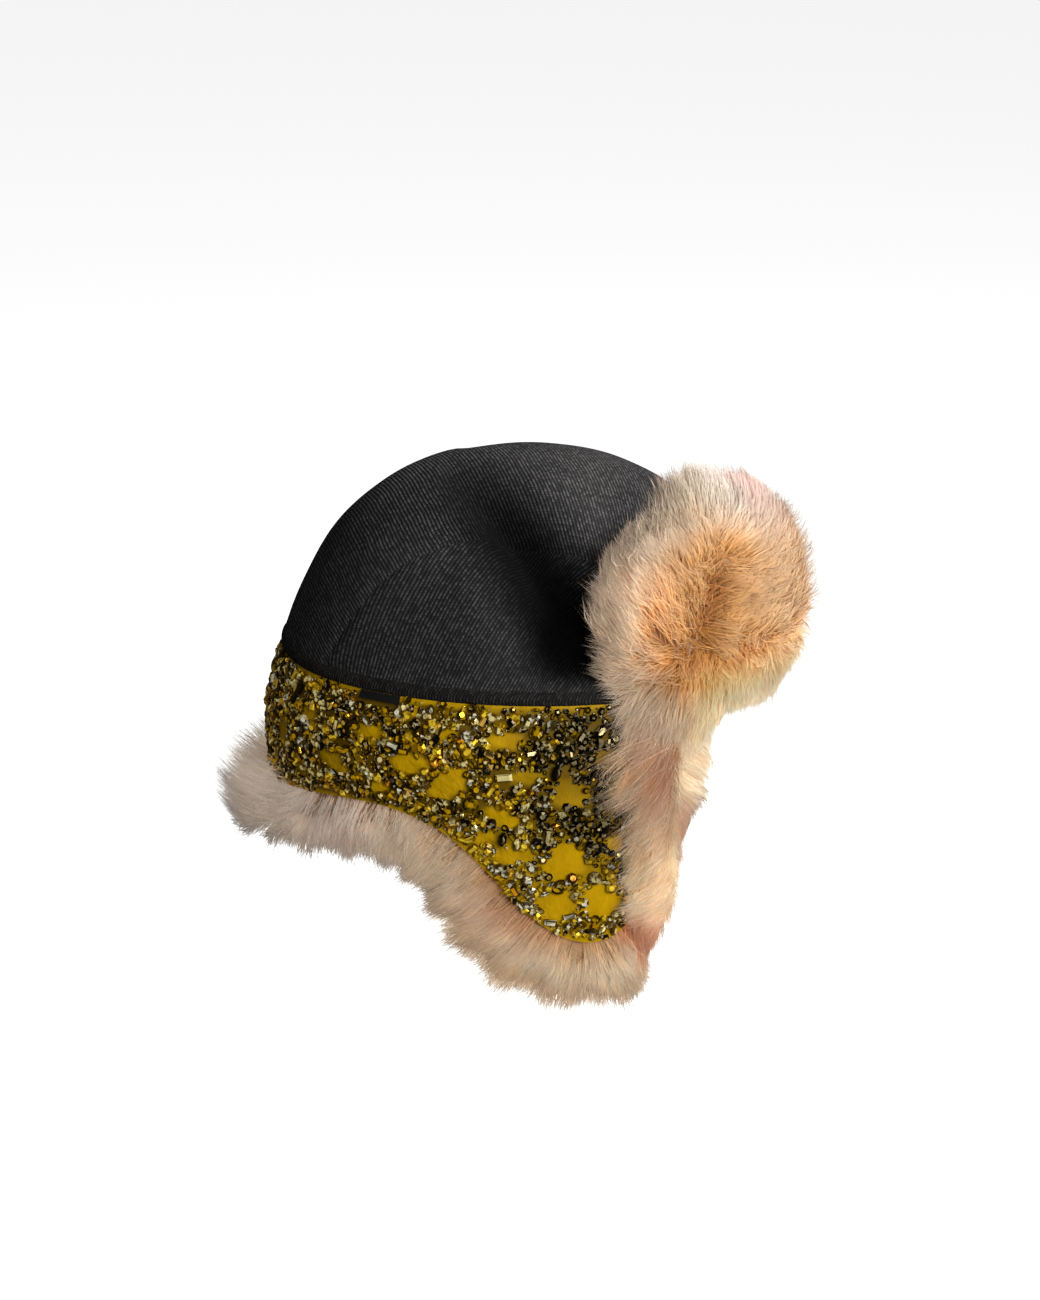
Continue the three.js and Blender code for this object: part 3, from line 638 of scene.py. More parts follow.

# %% [markdown]
# ## The stones
# Hundreds of small stones are sewn on in clusters: round brilliants in cups, slim baguettes,
# long dark navettes, little open rings and glass beads. Bare cells of cloth stay between
# them. Each kind is modelled once, with few faces, and set out over the band by a seeded
# draw. What makes a stone sparkle is that each of its facets throws back another part of
# the room, so each facet gets its own brightness as an attribute that the finish reads:
# these are painted glints and reflections, the same from every side. The facets also glow
# a little, which is painted light.

# %% Where the cloth stays bare
BARE_PATCHES = np.array([
    # turn, depth, half length, half height, lean
    [28, 31, 5, 10, 0], [50, 34, 9, 4.5, -22], [71, 28, 8.5, 4.5, 0], [80, 35, 10, 5.5, 42],
    [106, 38, 7, 7, 20], [92, 49, 8, 5, -28], [94, 67, 7.5, 4.5, 10], [105, 70, 10.5, 8, 48],
    [103, 91, 7.5, 7.5, 10], [113, 90, 8.5, 9, 30], [15, 20, 4, 3.5, 20], [40, 17, 6, 3, -10],
    [60, 17, 7, 3.5, 0], [92, 15, 7.5, 3.6, 0], [97, 30, 6, 3.6, 15], [87, 59, 5, 3, 30],
    [9, 44, 4, 6, 10], [38, 44, 5, 3, -15], [63, 41, 4.5, 2.8, 20], [116, 62, 3.2, 5, 10],
    [114, 22, 4.5, 4, 0], [79, 14, 4, 2.4, 10],
])
MAIN_STONE = {"smallest": 3.0, "largest": 4.2, "pitch_turn": 13.0, "pitch_depth": 17.0}
MARGIN = 3.5


def patch_reach(turn, depth, ragged=0.0):
    """How far places are from the nearest bare patch's middle: under 1 is inside it."""
    turn, depth = np.atleast_1d(turn)[..., None], np.atleast_1d(depth)[..., None]
    p_turn, p_depth, long, high, lean = BARE_PATCHES.T
    along, down, lean = (turn - p_turn) * UNROLL, depth - p_depth, np.radians(lean)
    a = along * np.cos(lean) - down * np.sin(lean)
    b = along * np.sin(lean) + down * np.cos(lean)
    around = np.arctan2(b / high, a / long)
    wobble = 1 + ragged * (np.sin(3 * around + p_turn) + 0.6 * np.sin(5 * around + p_depth))
    return (np.hypot(a / long, b / high) / wobble).min(axis=-1)


def shade_between_stones(cloth):
    """Marks how much painted shade each point of the band gets from the stones on it."""
    x, y, z = np.array([vertex.co for vertex in cloth.data.vertices]).T / MM
    turn, depth = np.degrees(np.arctan2(y / HALF_WIDTH, -x / HALF_LENGTH)), -z
    aside = np.abs(turn)
    painted_stone_shade = 0.85 * ease((patch_reach(aside, depth) - 0.85) / 0.3) * ease((depth - 1) / 3)
    painted_stone_shade *= ease((band_drop(turn) - depth) / 3) * (1 - 0.6 * ease((depth - 46) / 26))
    painted_stone_shade *= 1 - 0.35 * ease((52 - aside) / 30)
    # By the front flap, in its shade, the bare cells are darker too.
    by_flap = 0.6 * ease((aside - 86) / 18) * ease((56 - depth) / 26) * ease(depth / 8)
    marks = cloth.data.attributes.new("painted_stone_shade", "FLOAT", "POINT").data
    marks.foreach_set("value", np.maximum(painted_stone_shade, by_flap))


shade_between_stones(band_cloth)


def main_stones():
    """Turn, depth and half size of the larger stones of one side."""
    row, column = [g.ravel() for g in np.meshgrid(np.arange(8), np.arange(12), indexing="ij")]
    seed = row * 31 + column * 7 + 1
    shaken = column + 0.55 + np.where(row % 2 == 0, 0, 0.5) + 0.3 * (scatter(seed) - 0.5)
    turn = shaken * MAIN_STONE["pitch_turn"]
    depth = 11 + (row + 0.35 * (scatter(seed + 5) - 0.5)) * MAIN_STONE["pitch_depth"]
    size = MAIN_STONE["smallest"] + (MAIN_STONE["largest"] - MAIN_STONE["smallest"]) * scatter(seed + 9)
    low = band_drop(np.minimum(turn, FLAP_END)) - MARGIN - size - 1
    keep = (turn > 2.6) & (turn < 117.6) & (depth < low) & (patch_reach(turn, depth) > 1.35)
    return np.stack([turn, depth, size], axis=-1)[keep]


print(len(main_stones()), "larger stones a side")

# %% The kinds of stone


def ringed(sections, sides, squeeze=1.0, sharpen=0.0):
    """Points and triangles of a stone from round sections of (radius, height)."""
    angle = 2 * math.pi * (np.arange(sides) + 0.5) / sides
    points, faces = [], []
    for radius, height in sections:
        x = radius * np.cos(angle)
        y = radius * squeeze * np.sin(angle) * (1 - sharpen * np.cos(angle) ** 2)
        points.append(np.stack([x, y, np.full(sides, height)], axis=-1))
    for s in range(len(sections) - 1):
        for k in range(sides):
            a, b = s * sides + k, s * sides + (k + 1) % sides
            faces += [(a, b, b + sides), (a, b + sides, a + sides)]
    top = (len(sections) - 1) * sides
    faces += [(top, top + k, top + k + 1) for k in range(1, sides - 1)]
    return np.concatenate(points), np.array(faces)


def open_ring(sides=8, tube=0.26):
    """A small jump ring that stands on the cloth."""
    points, faces = [], []
    for k in range(sides):
        angle = 2 * math.pi * k / sides
        for radius, height in ((1, 0), (1 - tube, 0.55), (1 - 2 * tube, 0)):
            points.append((radius * math.cos(angle), radius * math.sin(angle), height))
    for k in range(sides):
        a, b = 3 * k, 3 * ((k + 1) % sides)
        for s in range(2):
            faces += [(a + s, b + s, b + s + 1), (a + s, b + s + 1, a + s + 1)]
    return np.array(points), np.array(faces)


KINDS = {
    "brilliant": ringed([(0.9, 0), (1, 0.3), (0.78, 0.55), (0.42, 0.68)], 9),
    "round": ringed([(0.8, 0), (1, 0.45), (0.52, 0.86)], 7),
    "chip": ringed([(0.75, 0), (1, 0.4), (0.4, 0.85)], 5),
    "navette": ringed([(0.9, 0), (1, 0.3), (0.5, 0.62)], 8, 0.55, 0.55),
    "baguette": ringed([(1.1, 0), (1.15, 0.35), (0.8, 0.62)], 4, 0.42),
    "bead": ringed([(1, 0.35), (0.55, 1.15)], 5),
    "ring": open_ring(),
}
CUP = "1c1404"  # dark metal of the settings
CUP_HEIGHT, CUP_METAL, FACET_METAL = 0.34, 0.35, 0.3
STONE_TINTS = {
    # darkest, brightest, share of the draw up to here, and how few facets flash
    "graphite": ("060504", "d0bc8c", 0.14, 8),
    "smoke": ("1c1202", "e6bc58", 0.28, 4),
    "champagne": ("5c4006", "fff0a8", 0.50, 1.25),
    "olive": ("302400", "d8a80c", 0.74, 1.25),
    "gold": ("8a6600", "ffdc3c", 0.89, 1.25),
    "amber": ("502c02", "f0a824", 0.93, 1.25),
    "clear": ("4c3806", "fffadc", 1.0, 1.6),
}
SMALL_KINDS = {"round": 0.34, "chip": 0.60, "bead": 0.68, "navette": 0.82, "baguette": 0.93, "ring": 1.0}
for kind, (points, faces) in KINDS.items():
    print(kind, len(faces), "triangles")

# %% Setting the stones out on one side
STONE_PITCH, BEAD_PITCH = 3.0, 2.6  # mm between the small stones and between the seed beads
LABEL_TURNS, LABEL_DEPTHS = (-67, -56), (0.9, 4.5)


def small_stones(draw, pitch, side, jitter=0.75):
    """Places of the small stones of one side, on a shaken grid that leaves the cells bare."""
    columns, rows = np.arange(0.8, FLAP_END * UNROLL, pitch), np.arange(2.2, 112, pitch * 0.87)
    across, down = np.meshgrid(columns, rows, indexing="ij")
    across = across + np.where(np.arange(across.shape[1]) % 2 == 0, 0, pitch / 2)
    across, down = across.ravel(), down.ravel()
    across = across + draw.uniform(-jitter, jitter, across.size)
    down = down + draw.uniform(-jitter, jitter, down.size)
    turn = across / UNROLL
    keep = (turn > 0.7) & (turn < FLAP_END - 1.2) & (down < band_drop(np.minimum(turn, FLAP_END)) - 1.6)
    keep &= patch_reach(turn, down, 0.12) > 0.93 + draw.normal(0, 0.06, turn.size)
    at_label = (side * turn > LABEL_TURNS[0] - 1) & (side * turn < LABEL_TURNS[1] + 1)
    at_label &= down < LABEL_DEPTHS[1] + 1.2
    keep &= ~at_label & ((down > 4) | (draw.random(turn.size) < 0.7))
    for main_turn, main_depth, size in main_stones():
        away = np.hypot((turn - main_turn) * UNROLL, down - main_depth)
        keep &= away > size * 0.95 + 0.5
    return turn[keep], down[keep]


def stone_places(draw, side):
    """Turn, depth and half size of the stones of one side, and whether each is a large one or a bead."""
    small, main = small_stones(draw, STONE_PITCH, side), main_stones().T
    small_size = np.clip(draw.gamma(6, 0.24, len(small[0])) + 0.45, 0.9, 2.5)
    beads = small_stones(draw, BEAD_PITCH, side)
    bead_size = draw.uniform(0.45, 0.8, len(beads[0]))
    rows = [*small, small_size], [main[0], main[1], main[2] * 0.86], [*beads, bead_size]
    sort = np.repeat([0, 1, 2], [len(row[0]) for row in rows])
    return *np.concatenate([np.array(row) for row in rows], axis=1), sort == 1, sort == 2


def stone_kinds(draw, big, tiny):
    """The name of each stone's kind."""
    count = len(big)
    small_kinds = np.array(list(SMALL_KINDS))[np.searchsorted(list(SMALL_KINDS.values()), draw.random(count))]
    slim = np.where(draw.random(count) < 0.62, 0, 1)
    slim = slim * np.where(draw.random(count) < 0.7, 1, 2)
    big_kinds = np.array(["brilliant", "navette", "baguette"])[slim]
    return np.where(big, big_kinds, np.where(tiny, "bead", small_kinds))


def stone_tints(draw, pick, turn, depth, near_front):
    """The name of each stone's tint. By the flap most are dark, and low on the ear flap most are pale."""
    count = len(turn)
    shares = [share for _, _, share, _ in STONE_TINTS.values()]
    tints = np.array(list(STONE_TINTS))[np.searchsorted(shares, pick)]
    tints = np.where(draw.random(count) < near_front * 0.7, "graphite", tints)
    pale = draw.random(count) < ease((depth - 48) / 22) * 0.62 * (1 - 0.5 * near_front)
    return np.where(pale, draw.choice(["gold", "clear", "champagne"], count), tints)


def stone_axes(turn, depth, spin, lean):
    """The directions along, across and out of each stone."""
    out = band_outwards(turn, depth)
    half_step = 0.5 * np.sign(turn)
    ahead = unit(band_surface(turn + half_step, depth) - band_surface(turn - half_step, depth))
    out = unit(out + lean[:, :1] * ahead + lean[:, 1:] * np.cross(out, ahead))
    ahead = unit(ahead - out * np.sum(ahead * out, axis=-1, keepdims=True))
    along = ahead * np.cos(spin)[:, None] + np.cross(out, ahead) * np.sin(spin)[:, None]
    return along, np.cross(out, along), out


def facet_looks(draw, kind, points, faces, tints, near_front):
    """A tint and a metal share for each facet of some stones of one kind. The tints hold
    painted glints and reflections, and by the front flap painted shade.
    """
    count = len(tints)
    # The faces near the cloth are the dark cup, the others are facets.
    height = points[faces][:, :, 2].mean(axis=1) / points[:, 2].max()
    is_cup = (height < CUP_HEIGHT) & (kind not in ("ring", "bead"))
    # Painted glints and reflections: top facets are drawn mostly bright, side facets mostly dark.
    table, facet = draw.beta(1.3, 0.8, (count, len(faces))), draw.beta(0.5, 1.3, (count, len(faces)))
    glint = np.where(height > 0.9, table, facet)
    pairs = np.arange(len(faces)) // 2
    glint = ease(1.5 * (0.5 * glint + 0.5 * glint[:, pairs * 2 % len(faces)]) - 0.2)
    rows = [STONE_TINTS[name] for name in tints]
    dark, bright = (np.array([tint(row[k]) for row in rows]) for k in (0, 1))
    # Painted shade: by the front flap both ends of every stone's tint are darker.
    dark, bright = (shade[:, None] * (1 - 0.45 * near_front)[:, None, None] for shade in (dark, bright))
    # Dark stones have painted glints on few facets, pale ones on many.
    power = np.array([row[3] for row in rows])
    colour = dark + (bright - dark) * (glint ** power[:, None])[..., None]
    cup = np.array(tint(CUP)) * (0.6 + draw.random((count, 1, 1)))
    colour = np.where(is_cup[None, :, None], cup, colour)
    metal = np.where(is_cup, CUP_METAL, FACET_METAL) * np.ones((count, 1))
    return colour.reshape(-1, 3), metal.ravel()


def dress_side(name, side, seed):
    """All the stones of one side of the band as one piece."""
    draw = np.random.default_rng(seed)
    turn, depth, size, big, tiny = stone_places(draw, side)
    count = len(turn)
    bead_lift, stone_lift = draw.uniform(0, 0.5, count), draw.uniform(0.1, 1.3, count)
    lift = np.where(big, 0.7, np.where(tiny, bead_lift, stone_lift))
    # Neighbours tend to be of one kind, so a slow wave over the band shifts the draw.
    drift = ripple(turn * UNROLL, depth, 13, 2.2)
    pick = np.clip(draw.random(count) + 0.16 * drift + 0.16 * ease((52 - turn) / 30), 0, 0.999)
    kinds = stone_kinds(draw, big, tiny)
    near_front = ease((turn - 90) / 18) * ease((94 - depth) / 30)
    tints = stone_tints(draw, pick, turn, depth, near_front)
    spin = draw.uniform(0, 2 * math.pi, count)
    lean = draw.normal(0, 0.24, (count, 2)) * np.where(big, 0.4, 1)[:, None]
    along, aside, out = stone_axes(side * turn, depth, spin, lean)
    base = off_band(side * turn, depth, lift * 0.9 - 0.45)

    parts, start = [], 0
    for kind, (points, faces) in KINDS.items():
        chosen = np.flatnonzero(kinds == kind)
        if not len(chosen):
            continue
        scale = size[chosen, None, None] * (1.35 if kind in ("navette", "baguette") else 1)
        x, y, z = (points[None, :, k:k + 1] for k in range(3))
        lain = x * along[chosen, None] + y * aside[chosen, None] + z * out[chosen, None]
        placed = base[chosen, None] + scale * lain
        offsets = start + len(points) * np.arange(len(chosen))
        start += len(chosen) * len(points)
        looks = facet_looks(draw, kind, points, faces, tints[chosen], near_front[chosen])
        parts.append((placed.reshape(-1, 3), (faces[None] + offsets[:, None, None]).reshape(-1, 3), *looks))
    return solid_mesh(name, *(np.concatenate(part) for part in zip(*parts)))


def solid_mesh(name, points, faces, face_tints, face_metal):
    """A mesh of flat triangles with a tint and a metal share on each face."""
    mesh = bpy.data.meshes.new(name)
    mesh.from_pydata((points * MM).tolist(), [], faces.tolist())
    colours = mesh.attributes.new("facet", "FLOAT_COLOR", "CORNER")
    rgba = np.concatenate([np.repeat(face_tints, 3, axis=0), np.ones((len(faces) * 3, 1))], axis=1)
    colours.data.foreach_set("color", rgba.ravel())
    metal = mesh.attributes.new("metal", "FLOAT", "FACE")
    metal.data.foreach_set("value", face_metal)
    mesh.materials.append(gems)
    print(name, len(faces), "triangles")
    return add_object(name, mesh)


# %% Stone finish


def stone_finish():
    finish = Finish(
        "cut_stones", Specular_IOR_Level=0.4, IOR=1.5,
        Specular_Tint=(1, 0.78, 0.36, 1), Emission_Strength=0.2)
    facet = finish.attribute("facet")
    smear = finish.noise(finish.object_place(), 900, 2)
    colour = finish.mix(0.35, facet, finish.mix(smear, (0.25, 0.25, 0.25), (1.0, 1.0, 1.0)), "MULTIPLY")
    # Painted light: the stones glow a little in their facet colour, most from their bright facets, for light
    # that cut glass throws back from inside.
    return finish.drive(
        Base_Color=colour,
        Emission_Color=finish.mix(0.5, facet, facet, "MULTIPLY"),
        Metallic=finish.attribute("metal", "Fac"),
        Roughness=smear * 0.22 + 0.07,
    ).material


gems = stone_finish()
gem_right = dress_side("gem_field_right", -1, 11)
gem_left = dress_side("gem_field_left", 1, 12)

# %% [markdown]
# ## Fur
# Shearling is a hide with hair 15 to 20 mm long. Blender's own hair would be lost when the
# hat leaves this program, so each hair is a slim ribbon of five triangles that ends in a
# point. Hairs grow in small locks whose tips lean together. Under them lies a soft core in
# the colour of the roots, so that no gap shows. The ribbons take the normals of the fur's
# outer form, and that gives the even, soft light of a thick pile.

# %% Ribbons


def bent(root, tip, rise, curl, steps=4):
    """Points along hairs in the fur's own coordinates: flat place (2) and height (1)."""
    t = np.linspace(0, 1, steps)[None, :, None]
    way = (tip - root)[:, None]
    flat = root[:, None, :2] + way[..., :2] * (t ** 1.15) + curl[:, None, :] * np.sin(math.pi * t)
    height = root[:, None, 2:] + way[..., 2:] * (1 - (1 - t) ** rise)
    return np.concatenate([flat, height], axis=-1)


def ribbons(name, lines, outwards, width, colours, finish, draw, soften=0.72):
    """Hairs along lines of four points each (mm). colours has one colour for each point.
    soften is how far a hair's light follows the fur's form and not its own."""
    soften = np.broadcast_to(soften, len(lines))[:, None, None]
    count = len(lines)
    along = unit(np.gradient(lines, axis=1))
    side = unit(np.cross(along, outwards[:, None]))
    turn = draw.normal(0, 0.5, (count, 1, 1))
    side = unit(side * np.cos(turn) + np.cross(along, side) * np.sin(turn))
    half = np.array([0.42, 0.5, 0.34])[None, :, None] * width[:, None, None]
    left, right = lines[:, :3] - side[:, :3] * half, lines[:, :3] + side[:, :3] * half
    points = np.concatenate([np.stack([left, right], axis=2).reshape(count, 6, 3), lines[:, 3:]], axis=1)
    mesh = bpy.data.meshes.new(name)
    mesh.vertices.add(count * 7)
    mesh.vertices.foreach_set("co", (points * MM).ravel())
    pattern = np.array([0, 1, 3, 2, 2, 3, 5, 4, 4, 5, 6])
    corners = (pattern[None] + 7 * np.arange(count)[:, None]).ravel()
    mesh.loops.add(count * 11)
    mesh.loops.foreach_set("vertex_index", corners)
    mesh.polygons.add(count * 3)
    starts = np.array([0, 4, 8]) + 11 * np.arange(count)[:, None]
    mesh.polygons.foreach_set("loop_start", starts.ravel())
    mesh.update(calc_edges=True)
    order = np.array([0, 0, 1, 1, 2, 2, 3])
    rgba = np.concatenate([colours[:, order], np.ones((count, 7, 1))], axis=-1)
    mesh.attributes.new("hair", "FLOAT_COLOR", "POINT").data.foreach_set("color", rgba.ravel())
    uv = np.stack([np.repeat(draw.random(count), 7), np.tile(order / 3, count)], axis=-1)
    mesh.uv_layers.new(name="UVMap").data.foreach_set("uv", uv[corners].ravel())
    face = np.cross(side, along)
    face = face * np.sign(np.sum(face * outwards[:, None], axis=-1, keepdims=True) + 1e-6)
    normal = unit(outwards[:, None] * soften + face * (1 - soften) + along * 0.25)
    mesh.shade_smooth()
    mesh.normals_split_custom_set_from_vertices(normal[:, order].reshape(-1, 3))
    mesh.materials.append(finish)
    print(name, count, "hairs,", count * 5, "triangles")
    return add_object(name, mesh)


# %% Hair and core finishes


def hair_finish(name, glow):
    finish = Finish(
        name, Specular_IOR_Level=0.25, Sheen_Weight=0.2, Sheen_Roughness=0.45, Emission_Strength=glow)
    split = finish.split(finish.cloth_place())
    one_hair, to_tip = split.part("X"), split.part("Y")
    tone = one_hair * 0.3 + to_tip * 0.12 + finish.noise(finish.object_place(), 90, 2) * 0.3 + 0.6
    grey = finish.add("ShaderNodeCombineXYZ", {}, [tone, tone, tone])
    colour = finish.mix(1.0, finish.attribute("hair"), grey, "MULTIPLY")
    # Painted light: the hair glows a little in its own warm colour, for light that a thick pile passes from
    # hair to hair, also on its shaded side.
    painted_glow = finish.mix(0.6, colour, colour, "MULTIPLY")
    rough = one_hair * 0.2 + 0.5
    return finish.drive(Base_Color=colour, Emission_Color=painted_glow, Roughness=rough).material


def core_finish():
    finish = Finish("shearling_roots", Specular_IOR_Level=0.15, Sheen_Weight=0.2, Sheen_Roughness=0.5)
    where = finish.object_place()
    tufts, fine = finish.noise(where, 160, 4, 0.65), finish.noise(where, 700, 3, 0.7)
    share = (tufts * 0.7 + fine * 0.5 - 0.2).math("MINIMUM", 1.0)
    return finish.drive(
        Base_Color=finish.mix(share, tint("9a6c44"), tint("e6c097")),
        Roughness=fine * 0.2 + 0.75,
        Normal=finish.bump(tufts + fine * 0.5, 1.6, 0.9),
    ).material


hair = hair_finish("shearling_hair", 0.12)
edge_hair = hair_finish("shearling_edge_hair", 0.32)
roots_fur = core_finish()

# %% [markdown]
# ## The front flap's fur
# The flap stands up against the crown. Its hair parts along a slanting line on each side. The
# two lines join low in the middle, and the hair falls away from them to all sides, upwards
# like a fan. So the partings are warm and dark and the rim is pale. The flap is described on
# its unrolled hide: a place round the brow, a height, and how far the hair stands off.

# %% Form of the front flap
FLAP_OUTLINE = [
    # degrees from the middle of the brow, and height
    (0, 73), (19, 73), (34, 72), (47, 69), (57, 59), (62, 45),
    (63, 28), (61, 12), (54, 1), (38, -4), (19, -7), (0, -8),
]
FLAP_SKEW, FLAP_SKEW_SWING = 8.0, 46.0  # the flap is turned up a little higher on the right
FLAP_MIDDLE, FLAP_PILE, FLAP_STAND_OFF, FLAP_LOCKS = np.array([0.0, 31.0]), 15.0, 2.4, 30
FLAP_RIM = 18.0  # mm that the longest locks reach past the hide
PARTING = {"swing": -41, "z": 43, "tilt": math.radians(30), "reach": 8, "half": 32, "depth": 7}


def flap_surface(place, out):
    """A point of the front flap from its place on the unrolled hide and how far it stands off."""
    swing, z = np.radians(place[..., 0] / UNROLL), place[..., 1]
    away = FLAP_STAND_OFF + out - 12 * (np.maximum(0, z - 15) / 55) ** 1.6
    return round_head(swing, away, z)


def closed_curve(knots, steps=24):
    """A smooth closed line through knots."""
    knots = np.array(knots, float)
    before, after, last = np.roll(knots, 1, axis=0), np.roll(knots, -1, axis=0), np.roll(knots, -2, axis=0)
    t = (np.arange(steps) / steps)[None, :, None]
    a, b, c, d = (k[:, None] for k in (before, knots, after, last))
    square, cube = (2 * a - 5 * b + 4 * c - d) * t ** 2, (3 * b - a - 3 * c + d) * t ** 3
    line = 0.5 * (2 * b + (c - a) * t + square + cube)
    return line.reshape(-1, 2)


def lock_ends(count, shake, notch):
    """How far a row of locks reaches: by turns a tip and the notch beside it."""
    number = np.arange(count + 1)
    return np.where(number % 2 == 0, 1 - shake * scatter(number), notch + shake * scatter(number))


half_outline = [(swing * UNROLL, z) for swing, z in FLAP_OUTLINE]
level = np.array(half_outline + [(-x, z) for x, z in half_outline[-2:0:-1]])
level[:, 1] += FLAP_SKEW * (-level[:, 0] / (FLAP_SKEW_SWING * UNROLL)) * ease(level[:, 1] / 60)
outline = closed_curve(level)
outline_angle = np.unwrap(np.arctan2(*(outline - FLAP_MIDDLE).T[::-1]))
outline_angle = np.mod(outline_angle, 2 * math.pi)
outline_order = np.argsort(outline_angle)
outline_radius = np.linalg.norm(outline - FLAP_MIDDLE, axis=1)
outline_run = np.roll(outline, -1, axis=0) - np.roll(outline, 1, axis=0)
outline_off = unit(np.stack([-outline_run[:, 1], outline_run[:, 0]], axis=-1))
outline_length = np.concatenate([[0], np.cumsum(np.linalg.norm(np.diff(outline, axis=0), axis=1))])
whole_length = outline_length[-1] + np.linalg.norm(outline[0] - outline[-1])
outline_lock = outline_length / whole_length * 2 * FLAP_LOCKS
lock_tips = lock_ends(2 * FLAP_LOCKS, 0.1, 0.7)


def by_angle(values, angle):
    """Reads values given round the outline at angles from the flap's middle."""
    known, values = outline_angle[outline_order], values[outline_order]
    return np.interp(np.mod(angle, 2 * math.pi), known, values, period=2 * math.pi)


def flap_reach(place):
    """How far places are past the outline, their share of the way to it, and the longest lock there."""
    away = place - FLAP_MIDDLE
    angle, radius = np.arctan2(away[..., 1], away[..., 0]), np.linalg.norm(away, axis=-1)
    edge = by_angle(outline_radius, angle)
    off_x, off_y = by_angle(outline_off[:, 0], angle), by_angle(outline_off[:, 1], angle)
    lean = np.clip(np.abs(off_x * np.cos(angle) + off_y * np.sin(angle)), 0.3, 1)
    swing, z = edge * np.cos(angle) / UNROLL, FLAP_MIDDLE[1] + edge * np.sin(angle)
    to_side = ease((np.abs(swing) - 22) / 22)
    low = 1 - (0.5 - 0.42 * to_side) * ease((20 - z) / 24)
    tip = np.interp(by_angle(outline_lock, angle), np.arange(len(lock_tips)), lock_tips)
    # Along the top the locks are longest a little to the right.
    right, far_right, left = ease((-swing - 8) / 18), ease((-swing - 42) / 10), ease((swing + 6) / 25)
    uneven = ease((z - 40) / 25) * (0.75 * right - 1.25 * far_right - 0.65 * left)
    return (radius - edge) * lean, radius / edge, FLAP_RIM * tip * low * (1 + uneven)


def parting_distance(place):
    """Across and along the parting, in mm."""
    right, above = place[..., 0] - PARTING["swing"] * UNROLL, place[..., 1] - PARTING["z"]
    tilt = PARTING["tilt"]
    return right * math.cos(tilt) - above * math.sin(tilt), right * math.sin(tilt) + above * math.cos(tilt)


def flap_heights(place):
    """How far the fur's inner and outer faces stand off the hide."""
    past, share, longest = flap_reach(place)
    body = np.interp(share, [0, 0.36, 0.7, 1], [1, 1.06, 1.05, 0.85])
    rim = np.interp(np.maximum(past, 0) / np.maximum(longest, 4), [0, 0.5, 1, 1.4], [0.85, 0.55, 0.14, 0.1])
    full = FLAP_PILE * (1 - 0.5 * ease((16 - place[..., 1]) / 28))
    across, along = parting_distance(place)
    groove = PARTING["depth"] * np.exp(-((across / PARTING["reach"]) ** 2))
    groove = groove * (1 - ease(np.abs(along) / PARTING["half"]))
    outer = np.maximum(1.5, full * np.where(past > 0, rim, body) - groove)
    inner = np.interp(past, [-6, 0, 9, 18], [0, 0.4, 1, 1.2])
    return np.minimum(inner, outer - 0.5), outer


print("flap outline", len(outline), "points")

# %% Core of the front flap


def fur_core(name, outer, inner, finish):
    """A closed soft body between two grids of points (mm), joined along their last rings."""
    rings, sectors = outer.shape[:2]
    points = np.concatenate([outer.reshape(-1, 3), inner.reshape(-1, 3)])
    faces = []
    for skin in range(2):
        for j in range(rings - 1):
            for i in range(sectors):
                a = skin * rings * sectors + j * sectors + i
                b = skin * rings * sectors + j * sectors + (i + 1) % sectors
                quad = (a, b, b + sectors, a + sectors)
                faces.append(quad if skin == 0 else quad[::-1])
    for i in range(sectors):
        a, b = (rings - 1) * sectors + i, (rings - 1) * sectors + (i + 1) % sectors
        faces.append((a, b, b + rings * sectors, a + rings * sectors))
    mesh = bpy.data.meshes.new(name)
    mesh.from_pydata((points * MM).tolist(), [], faces)
    mesh.materials.append(finish)
    piece = add_object(name, mesh)
    weld(piece)
    piece.data.shade_smooth()
    print(name, len(mesh.polygons), "faces")
    return piece


def flap_core():
    sectors, rings = 96, 14
    angle = 2 * math.pi * np.arange(sectors) / sectors
    share = np.linspace(0, 0.96, rings + 1)[:, None]
    reach = by_angle(outline_radius, angle) * share
    place = FLAP_MIDDLE + np.stack([reach * np.cos(angle), reach * np.sin(angle)], axis=-1)
    inner, outer = flap_heights(place)
    middle = inner + (outer - inner) * 0.52 * np.sqrt(np.clip(1 - share ** 6, 0.02, 1))
    return fur_core("flap_roots", flap_surface(place, middle), flap_surface(place, inner), roots_fur)


flap_roots = flap_core()

# %% Hair of the front flap
CREAM, PEACH, AMBER_BROWN = np.array(tint("dacab6")), np.array(tint("f4b258")), np.array(tint("bf761e"))
ROSE, BEIGE, PALE_LIGHT = np.array(tint("e4a894")), np.array(tint("dec6a0")), np.array(tint("fff4e0"))
DEEP_BROWN, EDGE_SHADE_BROWN = np.array(tint("8a4a10")), np.array(tint("54321e"))
SPINE_HALF, SPINE_LOW = 20, 15.0

# The line from which the flap's hair falls away: both partings, joined low in the middle.
parting_middle = np.array([PARTING["swing"] * UNROLL, PARTING["z"]])
parting_run = SPINE_HALF * np.array([math.sin(PARTING["tilt"]), math.cos(PARTING["tilt"])])
right_spine = np.array([parting_middle + parting_run, parting_middle - parting_run])
spine = np.vstack([right_spine, [[0, SPINE_LOW]], right_spine[::-1] * [-1, 1]])


def blend_colours(first, second, share):
    return first + (second - first) * share[..., None]


